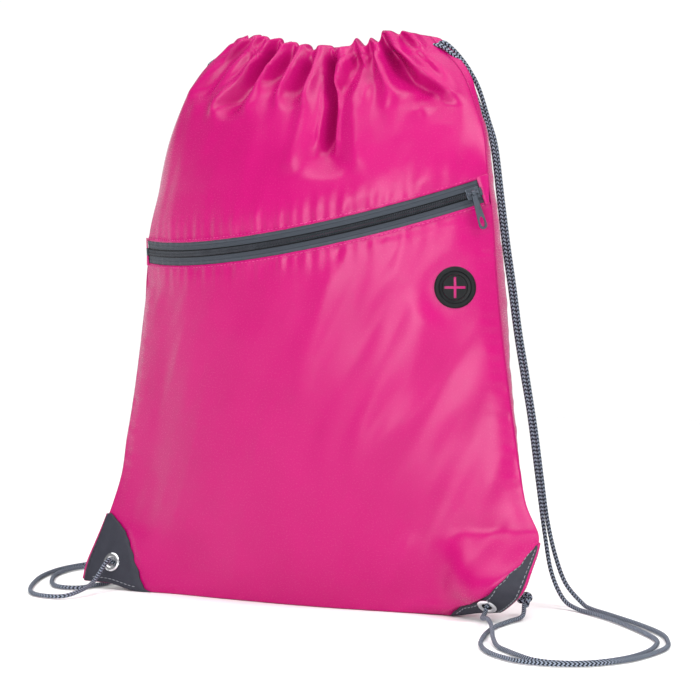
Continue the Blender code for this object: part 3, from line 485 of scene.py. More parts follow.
def open_hole(mesh, matrix, radius, depth):
    """Take the faces within radius of a matrix's Z axis out of a mesh, and round the edge left."""
    inverse = matrix.inverted()
    bm = bmesh.new()
    bm.from_mesh(mesh)
    gone = []
    for face in bm.faces:
        local = inverse @ face.calc_center_median()
        if abs(local.z) < depth and sqrt(local.x ** 2 + local.y ** 2) < radius:
            gone.append(face)
    bmesh.ops.delete(bm, geom=gone, context="FACES")
    for vert in bm.verts:
        local = inverse @ vert.co
        reach = sqrt(local.x ** 2 + local.y ** 2)
        on_edge = any(edge.is_boundary for edge in vert.link_edges)
        if on_edge and abs(local.z) < depth and 0 < reach < radius * 1.35:
            local.x *= radius / reach
            local.y *= radius / reach
            vert.co = matrix @ local
    bm.to_mesh(mesh)
    bm.free()


CLOTH_THICKNESS = 0.0004


def thicken(thing, thickness, offset=-1.0, levels=1):
    if levels:
        finer = thing.modifiers.new("finer", "SUBSURF")
        finer.levels = levels
        finer.render_levels = levels
        finer.boundary_smooth = "PRESERVE_CORNERS"
    shell = thing.modifiers.new("thickness", "SOLIDIFY")
    shell.thickness = thickness
    shell.offset = offset


def sampled_row(place, count, fine=260):
    """count points at even spacing along the curve place(t), t from -1 to 1, with their t. And its length."""
    ts = between(-1.0, 1.0, fine)
    curve = [place(t) for t in ts]
    places, length = evenly(curve, count)
    row = []
    for i, share in places:
        row.append((curve[i].lerp(curve[i + 1], share), ts[i] + (ts[i + 1] - ts[i]) * share))
    return row, length


RELAX_FRAMES = 24
HOLD = 0.32                   # pin weight of cloth that isn't sewn down
SATIN = {"quality": 6, "mass": 0.05, "air_damping": 2.0, "tension_stiffness": 12.0,
         "compression_stiffness": 12.0, "shear_stiffness": 4.0, "bending_stiffness": 0.03,
         "vertex_group_mass": "held", "pin_stiffness": 0.01}


def relax(thing, rest, weights):
    """Let the cloth find its own folds: a short cloth simulation from the laid-out shape, with the
    flat cut as rest shape and weights holding it to the form. The result is applied to the mesh."""
    scene = bpy.context.scene
    thing.shape_key_add(name="laid_out")
    flat = thing.shape_key_add(name="flat")
    for point, place in zip(flat.data, rest):
        point.co = place
    flat.value = 0.0
    group = thing.vertex_groups.new(name="held")
    for index, weight in enumerate(weights):
        group.add([index], weight, "REPLACE")
    cloth = thing.modifiers.new("cloth", "CLOTH")
    for key, value in SATIN.items():
        setattr(cloth.settings, key, value)
    cloth.settings.rest_shape_key = flat
    cloth.settings.effector_weights.gravity = 0.0
    cloth.collision_settings.use_collision = False
    cloth.collision_settings.use_self_collision = False
    cloth.point_cache.frame_start = 1
    cloth.point_cache.frame_end = RELAX_FRAMES
    for number in range(1, RELAX_FRAMES + 1):
        scene.frame_set(number)
    graph = bpy.context.evaluated_depsgraph_get()
    mesh = bpy.data.meshes.new_from_object(thing.evaluated_get(graph))
    mesh.shade_smooth()
    name, look = thing.name, thing.data.materials[0]
    bpy.data.objects.remove(thing, do_unlink=True)
    scene.frame_set(1)
    return new_object(name, mesh, look)


# ---- folds of the gathered mouth ----
# Valleys that run down from the gathered hem: points (x, z) along each, depth, width at top and end.
FRONT_FOLDS = (
    (((0.0116, 0.379), (0.018, 0.358), (0.025, 0.34), (0.028, 0.323), (0.029, 0.303)),
     0.0085, 0.006, 0.0125),
    (((0.013, 0.379), (0.0185, 0.358), (0.0245, 0.34), (0.0275, 0.316)), 0.012, 0.0026, 0.0034),
    (((0.0277, 0.381), (0.0324, 0.369), (0.0317, 0.352)), 0.01, 0.0036, 0.005),
    (((-0.0022, 0.378), (-0.002, 0.367), (-0.006, 0.35)), 0.011, 0.0038, 0.006),
    (((0.038, 0.383), (0.04, 0.374), (0.044, 0.362)), 0.008, 0.0036, 0.005),
    (((-0.0165, 0.381), (-0.02, 0.372), (-0.026, 0.36)), 0.008, 0.0036, 0.005),
    (((-0.0302, 0.385), (-0.044, 0.362), (-0.0581, 0.342)), 0.0135, 0.0042, 0.008),
    (((-0.0549, 0.388), (-0.074, 0.374), (-0.0904, 0.352)), 0.0085, 0.0042, 0.007),
    (((0.0491, 0.383), (0.068, 0.366), (0.0844, 0.35)), 0.015, 0.0046, 0.0085),
    (((0.064, 0.389), (0.08, 0.378), (0.101, 0.34)), 0.006, 0.0046, 0.007),
)
FRONT_VALLEYS = (-0.07, -0.0549, -0.043, -0.0302, -0.0165, -0.0022, 0.0116, 0.0277, 0.038, 0.0491, 0.063)
BACK_VALLEYS = (-0.066, -0.052, -0.037, -0.024, -0.008, 0.006, 0.021, 0.033, 0.048, 0.064)
# The mouth's edge, as (x, z).
HEM_TOPS = ((-0.08, 0.3845), (-0.07, 0.3875), (-0.06, 0.388), (-0.0487, 0.3895), (-0.04, 0.3862),
            (-0.033, 0.3878), (-0.0285, 0.3836), (-0.019, 0.3848), (-0.0142, 0.3815), (-0.008, 0.3832),
            (-0.0035, 0.3788), (0.004, 0.3822), (0.01, 0.3818), (0.0135, 0.3778), (0.019, 0.3808),
            (0.0241, 0.3812), (0.0292, 0.3868), (0.0353, 0.3808), (0.0402, 0.3868), (0.0455, 0.3835),
            (0.0515, 0.3915), (0.058, 0.3912), (0.0625, 0.3885), (0.066, 0.3912), (0.0725, 0.3895),
            (0.08, 0.3875))
PLEAT_OUT = 0.006
PLEAT_IN = 0.0006
HEM_LEVEL = 0.385             # where the hem's width and direction are taken
MOUTH_HALF = 0.0785           # half the gathered mouth's width


def interpolate(table, x):
    """A table's value at x, eased between its (x, value) pairs."""
    if x <= table[0][0]:
        return table[0][1]
    for (x0, y0), (x1, y1) in zip(table, table[1:]):
        if x <= x1:
            return y0 + (y1 - y0) * smoothstep(0, 1, (x - x0) / (x1 - x0))
    return table[-1][1]


def pleat(valleys, x):
    """The gathered hem's wave at x: 0 in a valley, 1 on the ridge between two."""
    knots = [2 * valleys[0] - valleys[1], *valleys, 2 * valleys[-1] - valleys[-2]]
    for a, b in zip(knots, knots[1:]):
        if a <= x <= b:
            return 0.5 - 0.5 * cos(2 * pi * (x - a) / (b - a))
    return 0.0


def fold_depth(folds, x, z):
    """How far the valleys sink the cloth (below 0) or lift it beside them (above 0) at (x, z)."""
    total = 0.0
    for points, depth, top_width, end_width in folds:
        top, end = points[0][1], points[-1][1]
        if z < end - 0.012:
            continue
        middle = points[0][0] if z >= top else points[-1][0]
        for (x0, z0), (x1, z1) in zip(points, points[1:]):
            if z1 <= z <= z0:
                middle = x0 + (x1 - x0) * (z0 - z) / (z0 - z1)
        share = min(max((top - z) / (top - end), 0.0), 1.0)
        width = top_width + (end_width - top_width) * share
        fade = smoothstep(end - 0.012, end + 0.004, z) * (1 - 0.5 * smoothstep(top - 0.012, top, z))
        offset = (x - middle) / width
        total -= depth * fade * exp(-offset * offset)
        total += 0.3 * depth * fade * (exp(-(abs(offset) - 1.9) ** 2 / 0.35))
    return total


def outward_at(point_of, t, z):
    """Horizontal unit vector square to the panel: out of the front, into the back."""
    step = 0.004
    along = point_of(min(t + step, 1), z) - point_of(max(t - step, -1), z)
    return Vector((along.y, -along.x, 0)).normalized()


def hem_middle(side, t, z):
    """The hem tunnel's middle surface; side is -1 in front and 1 behind."""
    depth = station_value(FRONT_DEPTH, z) * max(0.0, 1 - t * t) ** 0.5
    return Vector((t * half_width(t, z), station_value(SEAM_Y, z) + side * (0.0016 + depth), z))


def crumple(x, z, lean, size, seed):
    """Long shallow creases of worn-in satin, running up at the angle lean from the horizontal."""
    along = x * cos(lean) + z * sin(lean)
    across = -x * sin(lean) + z * cos(lean)
    bend = 0.006 * noise.noise(Vector((x / 0.07, z / 0.07, seed)))
    broad = noise.noise(Vector((along / 0.11, (across + bend) / 0.03, seed + 3.1)))
    fine = noise.noise(Vector((along / 0.05, (across + bend) / 0.0125, seed + 7.7)))
    ridge = 1 - 2 * abs(noise.noise(Vector((along / 0.09, (across + bend) / 0.022, seed + 11.3))))
    return size * (broad + 0.42 * fine + 0.3 * ridge)


def pucker(length, distance, reach, size, seed):
    """Small irregular puckers square to a seam, fading with distance from it."""
    wave = sin(2 * pi * length / 0.0093 + seed) + 0.7 * sin(2 * pi * length / 0.0167 + 2.1 * seed)
    wave += 0.6 * sin(2 * pi * length / 0.0291 + 3.7 * seed)
    return size * wave * exp(-(distance / reach) ** 2)


def side_pucker(t, x, z, seed):
    """Puckers along the side seams, above the corner patches."""
    if z <= 0.075:
        return 0.0
    edge = half_width(t, z) - abs(x)
    return pucker(z, edge, 0.01, 0.00035, seed) * smoothstep(0.0, 0.002, edge)


# ---- fabric panels ----
# The rows that turn the top edge over: how far inwards, and how far up.
HEM_ROLL = ((0.0006, 0.0005), (0.0018, 0.0009), (0.0036, 0.0006), (0.005, -0.001), (0.0056, -0.006),
            (0.0056, -0.012), (0.0056, -0.0185))
HEM_DEPTH = 0.016
MOUTH_WIDTH = 0.302           # flat width of the cloth that is gathered into the mouth


def hem_rows(top, out_of, wave_at):
    """Rows that roll a panel's top edge over and down inside, round the drawstring."""
    rows = []
    for inwards, lift in HEM_ROLL:
        share = inwards / HEM_ROLL[-1][0]
        row = []
        for point, t in top:
            depth = inwards + share * 1.5 * PLEAT_OUT * wave_at(point, t)
            row.append((point - out_of(t) * depth + Vector((0, 0, lift)), t))
        rows.append(row)
    return rows


def cloth_panel(name, places, columns, gathered, held_at, hem=None, flip=False, loose=1.0):
    """A panel from one place(t) function per row. gathered(share) is the least flat width of the row
    that share of the way up, held_at(point, t, row) says which points are sewn down, and hem adds the
    rolled top edge."""
    rows, widths = [], []
    for place in places:
        row, length = sampled_row(place, columns)
        rows.append(row)
        widths.append(length * loose)
    body = len(rows)
    widths = [max(width, gathered(r / (body - 1))) for r, width in enumerate(widths)]
    if hem:
        extra = hem_rows(rows[-1], *hem)
        rows += extra
        widths += [widths[-1]] * len(extra)
    points, uvs, rest, weights = [], [], [], []
    heights = [point.z for point, _ in rows[0]]
    for r, (row, width) in enumerate(zip(rows, widths)):
        for c, (point, t) in enumerate(row):
            if r:
                heights[c] += (point - rows[r - 1][c][0]).length
            across = (c / (columns - 1) - 0.5) * width
            points.append(point)
            uvs.append((across, heights[c]))
            rest.append((across, 0.0, heights[c]))
            fixed = r == 0 or r >= body - 1 or c in (0, columns - 1) or held_at(point, t, r)
            weights.append(1.0 if fixed else HOLD)
    mesh = build_mesh(name, points, grid_faces(len(rows), columns, flip), uvs)
    return relax(new_object(name, mesh, PINK), rest, weights)


def top_at(t):
    return interpolate(HEM_TOPS, t * half_width(t, HEM_LEVEL))


def wave_at(valleys, t):
    return pleat(valleys, t * MOUTH_HALF)


def gathered_push(valleys, folds, t, point, top):
    """How far the gathers and folds stand a point of a panel out of its smooth form."""
    below = top - point.z
    gather = 1 - smoothstep(0.004, 0.062, below)
    push = gather * ((PLEAT_OUT + PLEAT_IN) * wave_at(valleys, t) - PLEAT_IN)
    push += fold_depth(folds, point.x, point.z) * smoothstep(0.0, 0.014, below)
    return push * (1 - smoothstep(0.9, 1.0, abs(t)))


def upper_row(v):
    def place(t):
        if v == 0:
            return zip_point(zip_angle_at(t, FABRIC_EDGE), FABRIC_EDGE, 0.0004)
        low, top = zip_level(t)[0].z + FABRIC_EDGE * 1.02, top_at(t)
        point = front_point(t, low + (top - low) * v)
        push = gathered_push(FRONT_VALLEYS, FRONT_FOLDS, t, point, top)
        push += pucker(point.x, point.z - low, 0.014, 0.00055, 1.3) * (1 - t * t)
        free = smoothstep(0.0, 0.012, point.z - low) * (1 - smoothstep(0.86, 1.0, abs(t)))
        size = 0.0014 + 0.0016 * smoothstep(0.0, 0.06, point.x)
        push += crumple(point.x, point.z, radians(75), size, 1.7) * free
        return point + outward_at(front_point, t, point.z) * push
    return place


upper = cloth_panel(
    "bag_front_upper", [upper_row(v) for v in between(0, 1, 58)], 181,
    lambda v: MOUTH_WIDTH * smoothstep(-0.2, 0.5, v), lambda point, t, r: top_at(t) - point.z < HEM_DEPTH,
    hem=(lambda t: outward_at(front_point, t, HEM_LEVEL), lambda point, t: wave_at(FRONT_VALLEYS, t)))


# Soft ridges and hollows of the pocket's front: points (x, z), height, width.
POCKET_FOLDS = (
    (((0.108, 0.2), (0.07, 0.15), (0.03, 0.08)), 0.0022, 0.016),
    (((0.122, 0.19), (0.11, 0.12), (0.09, 0.06)), -0.0016, 0.014),
    (((0.036, 0.238), (0.03, 0.2), (0.015, 0.15)), 0.0016, 0.01),
    (((-0.1, 0.06), (-0.06, 0.11), (-0.03, 0.18)), 0.0016, 0.018),
    (((-0.128, 0.09), (-0.11, 0.15), (-0.104, 0.21)), -0.0016, 0.014),
)


def long_fold(folds, x, z):
    total = 0.0
    for points, height, width in folds:
        best = 1.0
        for (x0, z0), (x1, z1) in zip(points, points[1:]):
            share = ((x - x0) * (x1 - x0) + (z - z0) * (z1 - z0)) / ((x1 - x0) ** 2 + (z1 - z0) ** 2)
            share = min(max(share, 0.0), 1.0)
            gap = sqrt((x - x0 - share * (x1 - x0)) ** 2 + (z - z0 - share * (z1 - z0)) ** 2)
            best = min(best, gap)
        total += height * exp(-(best / width) ** 2)
    return total


PORT_X, PORT_Z = 0.1163, 0.22


def pocket_row(v):
    def place(t):
        high = zip_level(t)[0].z - FABRIC_EDGE * 1.02
        if v == 1:
            return zip_point(zip_angle_at(t, -FABRIC_EDGE), -FABRIC_EDGE, 0.0004)
        z = high * v
        point = front_point(t, z)
        inside = smoothstep(0.0, 0.03, high - z) * smoothstep(0.0, 0.05, z)
        push = long_fold(POCKET_FOLDS, point.x, z) * inside * (1 - smoothstep(0.75, 1.0, abs(t)))
        push += pucker(point.x, high - z, 0.012, 0.0006, 0.4) * (1 - t * t)
        free = smoothstep(0.0, 0.01, high - z) * smoothstep(0.0, 0.02, z)
        free *= 1 - smoothstep(0.86, 1.0, abs(t))
        size = 0.0013 + 0.0022 * smoothstep(0.0, 0.06, point.x)
        push += crumple(point.x, z, radians(63), size, 5.2) * free
        push += side_pucker(t, point.x, z, 2.2)
        gap = sqrt((point.x - PORT_X) ** 2 + (z - PORT_Z) ** 2)
        push *= smoothstep(0.013, 0.03, gap)
        # Fuller beside the right corner, and pressed in where the puller hangs at the zip's far end.
        push += 0.002 * exp(-((point.x - 0.11) / 0.02) ** 2 - ((z - 0.02) / 0.016) ** 2)
        push -= 0.0017 * exp(-((point.x + 0.129) / 0.012) ** 2 - ((z - 0.218) / 0.013) ** 2)
        push += overhang(t, z)
        return settle(point + outward_at(front_point, t, max(z, 0.01)) * push)
    return place


# Height against how far from the middle the patch starts, as a share of the panel's half width.
LEFT_INNER = ((0.000, 0.68), (0.002, 0.715), (0.012, 0.745), (0.023, 0.79), (0.032, 0.83), (0.039, 0.865),
              (0.044, 0.905), (0.048, 0.945), (0.052, 0.985))
RIGHT_INNER = ((0.000, 0.745), (0.007, 0.775), (0.01, 0.82), (0.014, 0.85), (0.028, 0.88), (0.035, 0.92),
               (0.041, 0.965), (0.05, 0.995))


def overhang(t, z):
    """How far the cloth stands out beside a corner patch, sagging over its inner edge."""
    inner = LEFT_INNER if t < 0 else RIGHT_INNER
    if z > inner[-1][0]:
        return 0.0
    away = (interpolate(inner, z) - abs(t)) * half_width(t, z)
    fade = smoothstep(0.0, 0.006, z) * (1 - smoothstep(0.035, 0.05, z))
    out = 0.0012 if t < 0 else 0.0042
    return out * fade * smoothstep(0.0005, 0.0065, away) * (1 - smoothstep(0.01, 0.05, away))


def at_corner(point):
    return point.z < 0.062 and abs(point.x) > 0.118


def pocket_sewn(point, t, r):
    port_gap = sqrt((point.x - PORT_X) ** 2 + (point.z - PORT_Z) ** 2)
    return port_gap < 0.017 or at_corner(point) or point.z < 0.004


pocket = cloth_panel(
    "bag_pocket_front", [pocket_row(v) for v in between(0, 1, 100)], 141, lambda v: 0.0, pocket_sewn,
    loose=1.01)


def back_edge(t):
    wide = sin(t * pi / 2)
    front = front_point(wide, 0.0)
    return Vector((wide * half_width(t, 0.0), front.y + 0.0012, 0.0))


def back_fold(t):
    ear = smoothstep(0.45, 0.8, abs(sin(t * pi / 2)))
    point = back_point(t, 0.0)
    return Vector((point.x, point.y - 0.006 * (1 - ear), 0.0045 * ear))


def underside_row(share):
    return lambda t: settle(back_edge(t).lerp(back_fold(t), share))


def back_row(v):
    def place(t):
        top = top_at(-t)
        z = 0.009 + (top - 0.009) * v
        point = back_point(t, z)
        push = gathered_push(BACK_VALLEYS, BACK_FOLDS, t, point, top)
        free = smoothstep(0.02, 0.06, z) * (1 - smoothstep(0.8, 0.95, abs(t)))
        push += crumple(point.x, z, radians(100), 0.0024, 9.4) * free
        push += side_pucker(t, point.x, z, 5.1)
        return settle(point - outward_at(back_point, t, z) * push)
    return place


BACK_FOLDS = (
    (((0.006, 0.379), (0.009, 0.35), (0.003, 0.31)), 0.011, 0.006, 0.011),
    (((-0.037, 0.384), (-0.048, 0.36), (-0.062, 0.335)), 0.008, 0.005, 0.009),
    (((0.033, 0.382), (0.045, 0.36), (0.056, 0.325)), 0.009, 0.0055, 0.0095),
    (((-0.008, 0.38), (-0.012, 0.36), (-0.02, 0.34)), 0.005, 0.005, 0.007),
    (((0.064, 0.386), (0.08, 0.368), (0.094, 0.345)), 0.005, 0.005, 0.007),
    (((-0.066, 0.386), (-0.082, 0.368), (-0.095, 0.34)), 0.005, 0.005, 0.007),
)
back_places = [underside_row(share) for share in (0, 0.25, 0.5, 0.75, 0.94, 1.0)]
back_places += [back_row(v) for v in between(0, 1, 104)]
back = cloth_panel(
    "bag_back", back_places, 151, lambda r: MOUTH_WIDTH * 1.1 * smoothstep(0.65, 0.85, r),
    lambda point, t, r: top_at(-t) - point.z < HEM_DEPTH or r < 10 or at_corner(point),
    hem=(lambda t: -outward_at(back_point, t, HEM_LEVEL), lambda point, t: wave_at(BACK_VALLEYS, t)),
    flip=True, loose=1.006)


# ---- holes and finish of the panels ----
def frame_on(surface, across, upwards):
    """A matrix whose Z points out of surface(across, upwards), with X along the panel."""
    step = 0.0006
    right = (surface(across + step, upwards) - surface(across - step, upwards)).normalized()
    up = surface(across, upwards + step) - surface(across, upwards - step)
    normal = right.cross(up).normalized()
    matrix = Matrix((right, normal.cross(right), normal)).transposed().to_4x4()
    matrix.translation = surface(across, upwards)
    return matrix


def front_at_x(x, z):
    return settle(front_point(x / half_width(x, z), z))


port_frame = frame_on(front_at_x, PORT_X, PORT_Z)
left_eyelet = frame_on(front_at_x, -0.159, 0.0155)
right_eyelet = frame_on(front_at_x, 0.147, 0.012)
open_hole(pocket.data, port_frame, radius=0.0108, depth=0.01)
for eyelet in (left_eyelet, right_eyelet):
    open_hole(pocket.data, eyelet, radius=0.005, depth=0.012)
    open_hole(back.data, eyelet, radius=0.005, depth=0.02)
for panel in (upper, pocket, back):
    thicken(panel, CLOTH_THICKNESS)


# ---- zip ----
def zip_arc(length):
    return length / zip_radius


TAPE_INNER = 0.0005
TAPE_WIDTH = 0.0085


def tape(name, side):
    columns, rows = 260, 7
    margin = zip_arc(0.0008)
    points, uvs = [], []
    for r in range(rows):
        across = side * (TAPE_INNER + TAPE_WIDTH * r / (rows - 1))
        for c in range(columns):
            angle = margin + (ZIP_SWEEP - 2 * margin) * c / (columns - 1)
            length = angle * zip_radius
            wave = 0.00018 * sin(2 * pi * length / 0.0083 + side) + 0.00012 * sin(2 * pi * length / 0.0131)
            proud = -0.0004 + wave * smoothstep(2, 5, r)
            points.append(zip_point(angle, across, proud))
            uvs.append((length, across))
    thing = new_object(name, build_mesh(name, points, grid_faces(rows, columns, side < 0), uvs), TAPE)
    thicken(thing, CLOTH_THICKNESS, -1.0, 0)
    return thing


def coil(name, side):
    """Nylon coil teeth, each a rounded loop across the tape, half a pitch off on the other side."""
    pitch, sides, start = 0.00125, 6, 0.0044
    half_thick, high = 0.00045, 0.00075
    rings = ((-0.0002, 0.6), (0.0003, 1.0), (0.0014, 1.0), (0.0019, 0.7))
    points, faces = [], []
    count = int((ZIP_SWEEP * zip_radius - 2 * start) / pitch)
    for tooth in range(count):
        middle = zip_arc(start + pitch * (tooth + (0.5 if side > 0 else 0.0) + 0.25))
        faces += ring_faces(len(points), len(rings), sides)
        for across, reach in rings:
            for turn in turns(sides):
                along = half_thick * reach * cos(turn)
                proud = 0.0007 + high * reach * sin(turn)
                points.append(zip_point(middle + zip_arc(along), side * across, proud))
    return new_object(name, build_mesh(name, points, faces), COIL)


def zip_end(name, side):
    """The strip of pocket cloth that the zip's end runs under, out to the side seam."""
    points, uvs = [], []
    for r in range(13):
        across = (FABRIC_EDGE + 0.0018) * (r / 6 - 1)
        inner = ZIP_SWEEP - zip_arc(0.0028) if side > 0 else zip_arc(0.0028)
        outer = zip_angle_at(side, across)
        for c in range(9):
            angle = inner + (outer - inner) * c / 8
            points.append(zip_point(angle, across, 0.0006 + 0.0007 * smoothstep(0, 2, min(c, 8 - c))))
            uvs.append((angle * zip_radius, across))
    thing = new_object(name, build_mesh(name, points, grid_faces(13, 9, side < 0), uvs), PINK)
    thicken(thing, CLOTH_THICKNESS)
    return thing


tape_upper, tape_lower = tape("zip_tape_upper_cloth", 1), tape("zip_tape_lower_cloth", -1)
zip_ends = [zip_end("zip_end_cover_right", 1), zip_end("zip_end_cover_left", -1)]
coil_upper, coil_lower = coil("zip_coil_upper_teeth", 1), coil("zip_coil_lower_teeth", -1)


def port_cloth():
    """The lining cloth pressed against the back of the port, seen through its slits."""
    points, uvs, faces = [Vector((0, 0, -0.0006))], [(0.0, 0.0)], []
    for ring, radius in enumerate((0.0026, 0.0052, 0.0078)):
        for k, turn in enumerate(turns(24)):
            points.append(Vector((radius * cos(turn), radius * sin(turn), -0.0006 - 4.0 * radius ** 2)))
            uvs.append((points[-1].x, points[-1].y))
            after = 1 + ring * 24 + (k + 1) % 24
            here = 1 + ring * 24 + k
            faces.append((here - 24, here, after, after - 24) if ring else (0, here, after))
    mesh = build_mesh("port_lining_cloth", [port_frame @ point for point in points], faces, uvs)
    return new_object("port_lining_cloth", mesh, PINK)


port_lining = port_cloth()


# ---- stitches ----
def stitches(name, line, normal_at, look, length=0.0024, gap=0.0011, radius=0.0003):
    """Separate stitches laid along a line of points, each a small capsule half sunk in the cloth."""
    sides = 6
    rings = ((0.0, 0.3, -0.4), (0.15, 0.85, 0.3), (0.5, 1.0, 0.7), (0.85, 0.85, 0.3), (1.0, 0.3, -0.4))
    points, faces = [], []
    run = lengths_along(line)

    def at(distance):
        distance = min(max(distance, 0.0), run[-1])
        index = max(i for i in range(len(run) - 1) if run[i] <= distance)
        share = (distance - run[index]) / max(run[index + 1] - run[index], 1e-9)
        return line[index].lerp(line[index + 1], share)

    place = 0.0006
    while place + length < run[-1]:
        start, end = at(place), at(place + length)
        along = (end - start).normalized()
        normal = normal_at((start + end) / 2)
        side = normal.cross(along).normalized()
        faces += ring_faces(len(points), len(rings), sides)
        for share, size, lift in rings:
            middle = start.lerp(end, share)
            for turn in turns(sides):
                points.append(middle + radius * size * (side * cos(turn) + normal * sin(turn))
                              + normal * radius * lift)
        place += length + gap
    return new_object(name, build_mesh(name, points, faces), look)


def zip_normal(point):
    arm = point - zip_centre
    angle = atan2(arm.dot(zip_side), arm.dot(zip_start))
    return (zip_point(angle, 0.0, 0.01) - zip_point(angle)).normalized()


topstitch = []
for side, label in ((1, "upper"), (-1, "lower")):
    line = [zip_point(angle, side * (FABRIC_EDGE + 0.0016), 0.0007)
            for angle in between(zip_arc(0.002), ZIP_SWEEP - zip_arc(0.002), 200)]
    topstitch.append(stitches(f"zip_topstitch_{label}", line, zip_normal, THREAD_PINK,
                              length=0.0022, gap=0.001, radius=0.00022))


# ---- corner patches ----
PATCH_EDGE = 0.9985           # the patch's outer edge, as a share of the panel's half width


def patch_surface(side, behind):
    def place(t, z):
        t = side * min(t, PATCH_EDGE)
        if behind:
            return settle(back_point(2 / pi * atan2(t, sqrt(max(1 - t * t, 0.0))), z))
        return settle(front_point(t, z))
    return place


def nearest_normal(line):
    """normal_at for stitches: the normal at the nearest of a line's (point, normal) pairs."""
    return lambda point: min(line, key=lambda pair: (pair[0] - point).length_squared)[1]


def patch(name, side, behind, inner):
    """A corner patch over the panel, turned down at its edges, and its rows of stitches."""
    surface = patch_surface(side, behind)
    columns, rows, step = 27, 30, 0.004
    top = inner[-1][0]

    def spot(u, v):
        """The patch's point and normal, u from its inner edge outwards and v upwards."""
        z = 0.0004 + (top - 0.0004) * v
        start = interpolate(inner, z)
        t = start + (1.0 - start) * u
        within = min(t, 0.99)
        right = surface(t + step, z) - surface(t - step, z)
        if t > 0.99:
            right = surface(0.99, z) - surface(0.98, z)
        up = surface(within, z + step / 4) - surface(within, max(z - step / 4, 0.0))
        normal = right.cross(up).normalized() * side * (-1 if behind else 1)
        crown = min(u, 1 - u, v, 1 - v) * 12
        return surface(t, z) + normal * (0.0004 + 0.001 * min(crown, 1.0)), normal

    spots = [(u, v) for v in between(0, 1, rows - 1) for u in between(0, 1, columns - 1)]
    faces = grid_faces(rows, columns, (side < 0) != behind)
    thing = new_object(name, build_mesh(name, [spot(u, v)[0] for u, v in spots], faces, spots), PATCH)
    open_hole(thing.data, left_eyelet if side < 0 else right_eyelet, radius=0.0046, depth=0.02)
    thicken(thing, 0.001, 1.0)
    upwards, outwards = between(0.03, 0.95, 60), between(0.12, 0.9, 60)
    if side < 0:
        lines = (("bottom", [spot(u, 0.055) for u in outwards], THREAD_GREY),
                 ("outer", [spot(0.945, v) for v in upwards], THREAD_DARK))
    else:
        lines = (("inner", [spot(0.09, v) for v in upwards], THREAD_GREY),
                 ("outer", [spot(0.91, v) for v in upwards], THREAD_GREY))
    seams = []
    for label, line, thread in lines:
        raised = [(point + normal * 0.0011, normal) for point, normal in line]
        points = [point for point, _ in raised]
        seams.append(stitches(f"{name}_stitch_{label}", points, nearest_normal(raised), thread))
    return thing, seams


patches = {}
for side, label, inner in ((-1, "left", LEFT_INNER), (1, "right", RIGHT_INNER)):
    for behind in (False, True):
        kind = "back" if behind else "front"
        patches[f"patch_{label}_{kind}"] = patch(f"corner_{label}_{kind}", side, behind, inner)


# ---- cords ----
CORD_RADIUS = 0.0015
KNOT_SCALE = 0.00135


def smooth_route(route, count):
    """Evenly spaced points on a Catmull-Rom curve through the route's points. And its length."""
    points = [Vector(point) for point in route]
    fine = []
    for i in range(len(points) - 1):
        before = points[i - 1] if i else points[0] * 2 - points[1]
        after = points[i + 2] if i + 2 < len(points) else points[-1] * 2 - points[-2]
        start, end = points[i], points[i + 1]
        for s in between(0, 1, 16)[:-1]:
            fine.append(0.5 * (2 * start + (end - before) * s
                               + (2 * before - 5 * start + 4 * end - after) * s ** 2
                               + (3 * start - before - 3 * end + after) * s ** 3))
    fine.append(points[-1])
    places, length = evenly(fine, count)
    return [fine[i].lerp(fine[i + 1], share) for i, share in places], length


def tube(name, line, radius, look, sides=12):
    """A round cord along a line of points, with UV (round, metres along) and closed ends."""
    count = len(line)
    points, uvs = [], []
    across = (line[1] - line[0]).normalized().orthogonal().normalized()
    for i, (point, length) in enumerate(zip(line, lengths_along(line))):
        direction = (line[min(i + 1, count - 1)] - line[max(i - 1, 0)]).normalized()
        across = (across - direction * across.dot(direction)).normalized()
        other = direction.cross(across)
        for k in range(sides + 1):
            turn = 2 * pi * k / sides
            points.append(point + (across * cos(turn) + other * sin(turn)) * radius)
            uvs.append((k / sides, length))
    faces = grid_faces(count, sides + 1)
    faces.append(tuple(range(sides - 1, -1, -1)))
    faces.append(tuple((count - 1) * (sides + 1) + k for k in range(sides)))
    mesh = build_mesh(name, points, faces, uvs)
    bm = bmesh.new()
    bm.from_mesh(mesh)
    bmesh.ops.remove_doubles(bm, verts=bm.verts, dist=0.000005)
    bm.to_mesh(mesh)
    bm.free()
    return new_object(name, mesh, look)


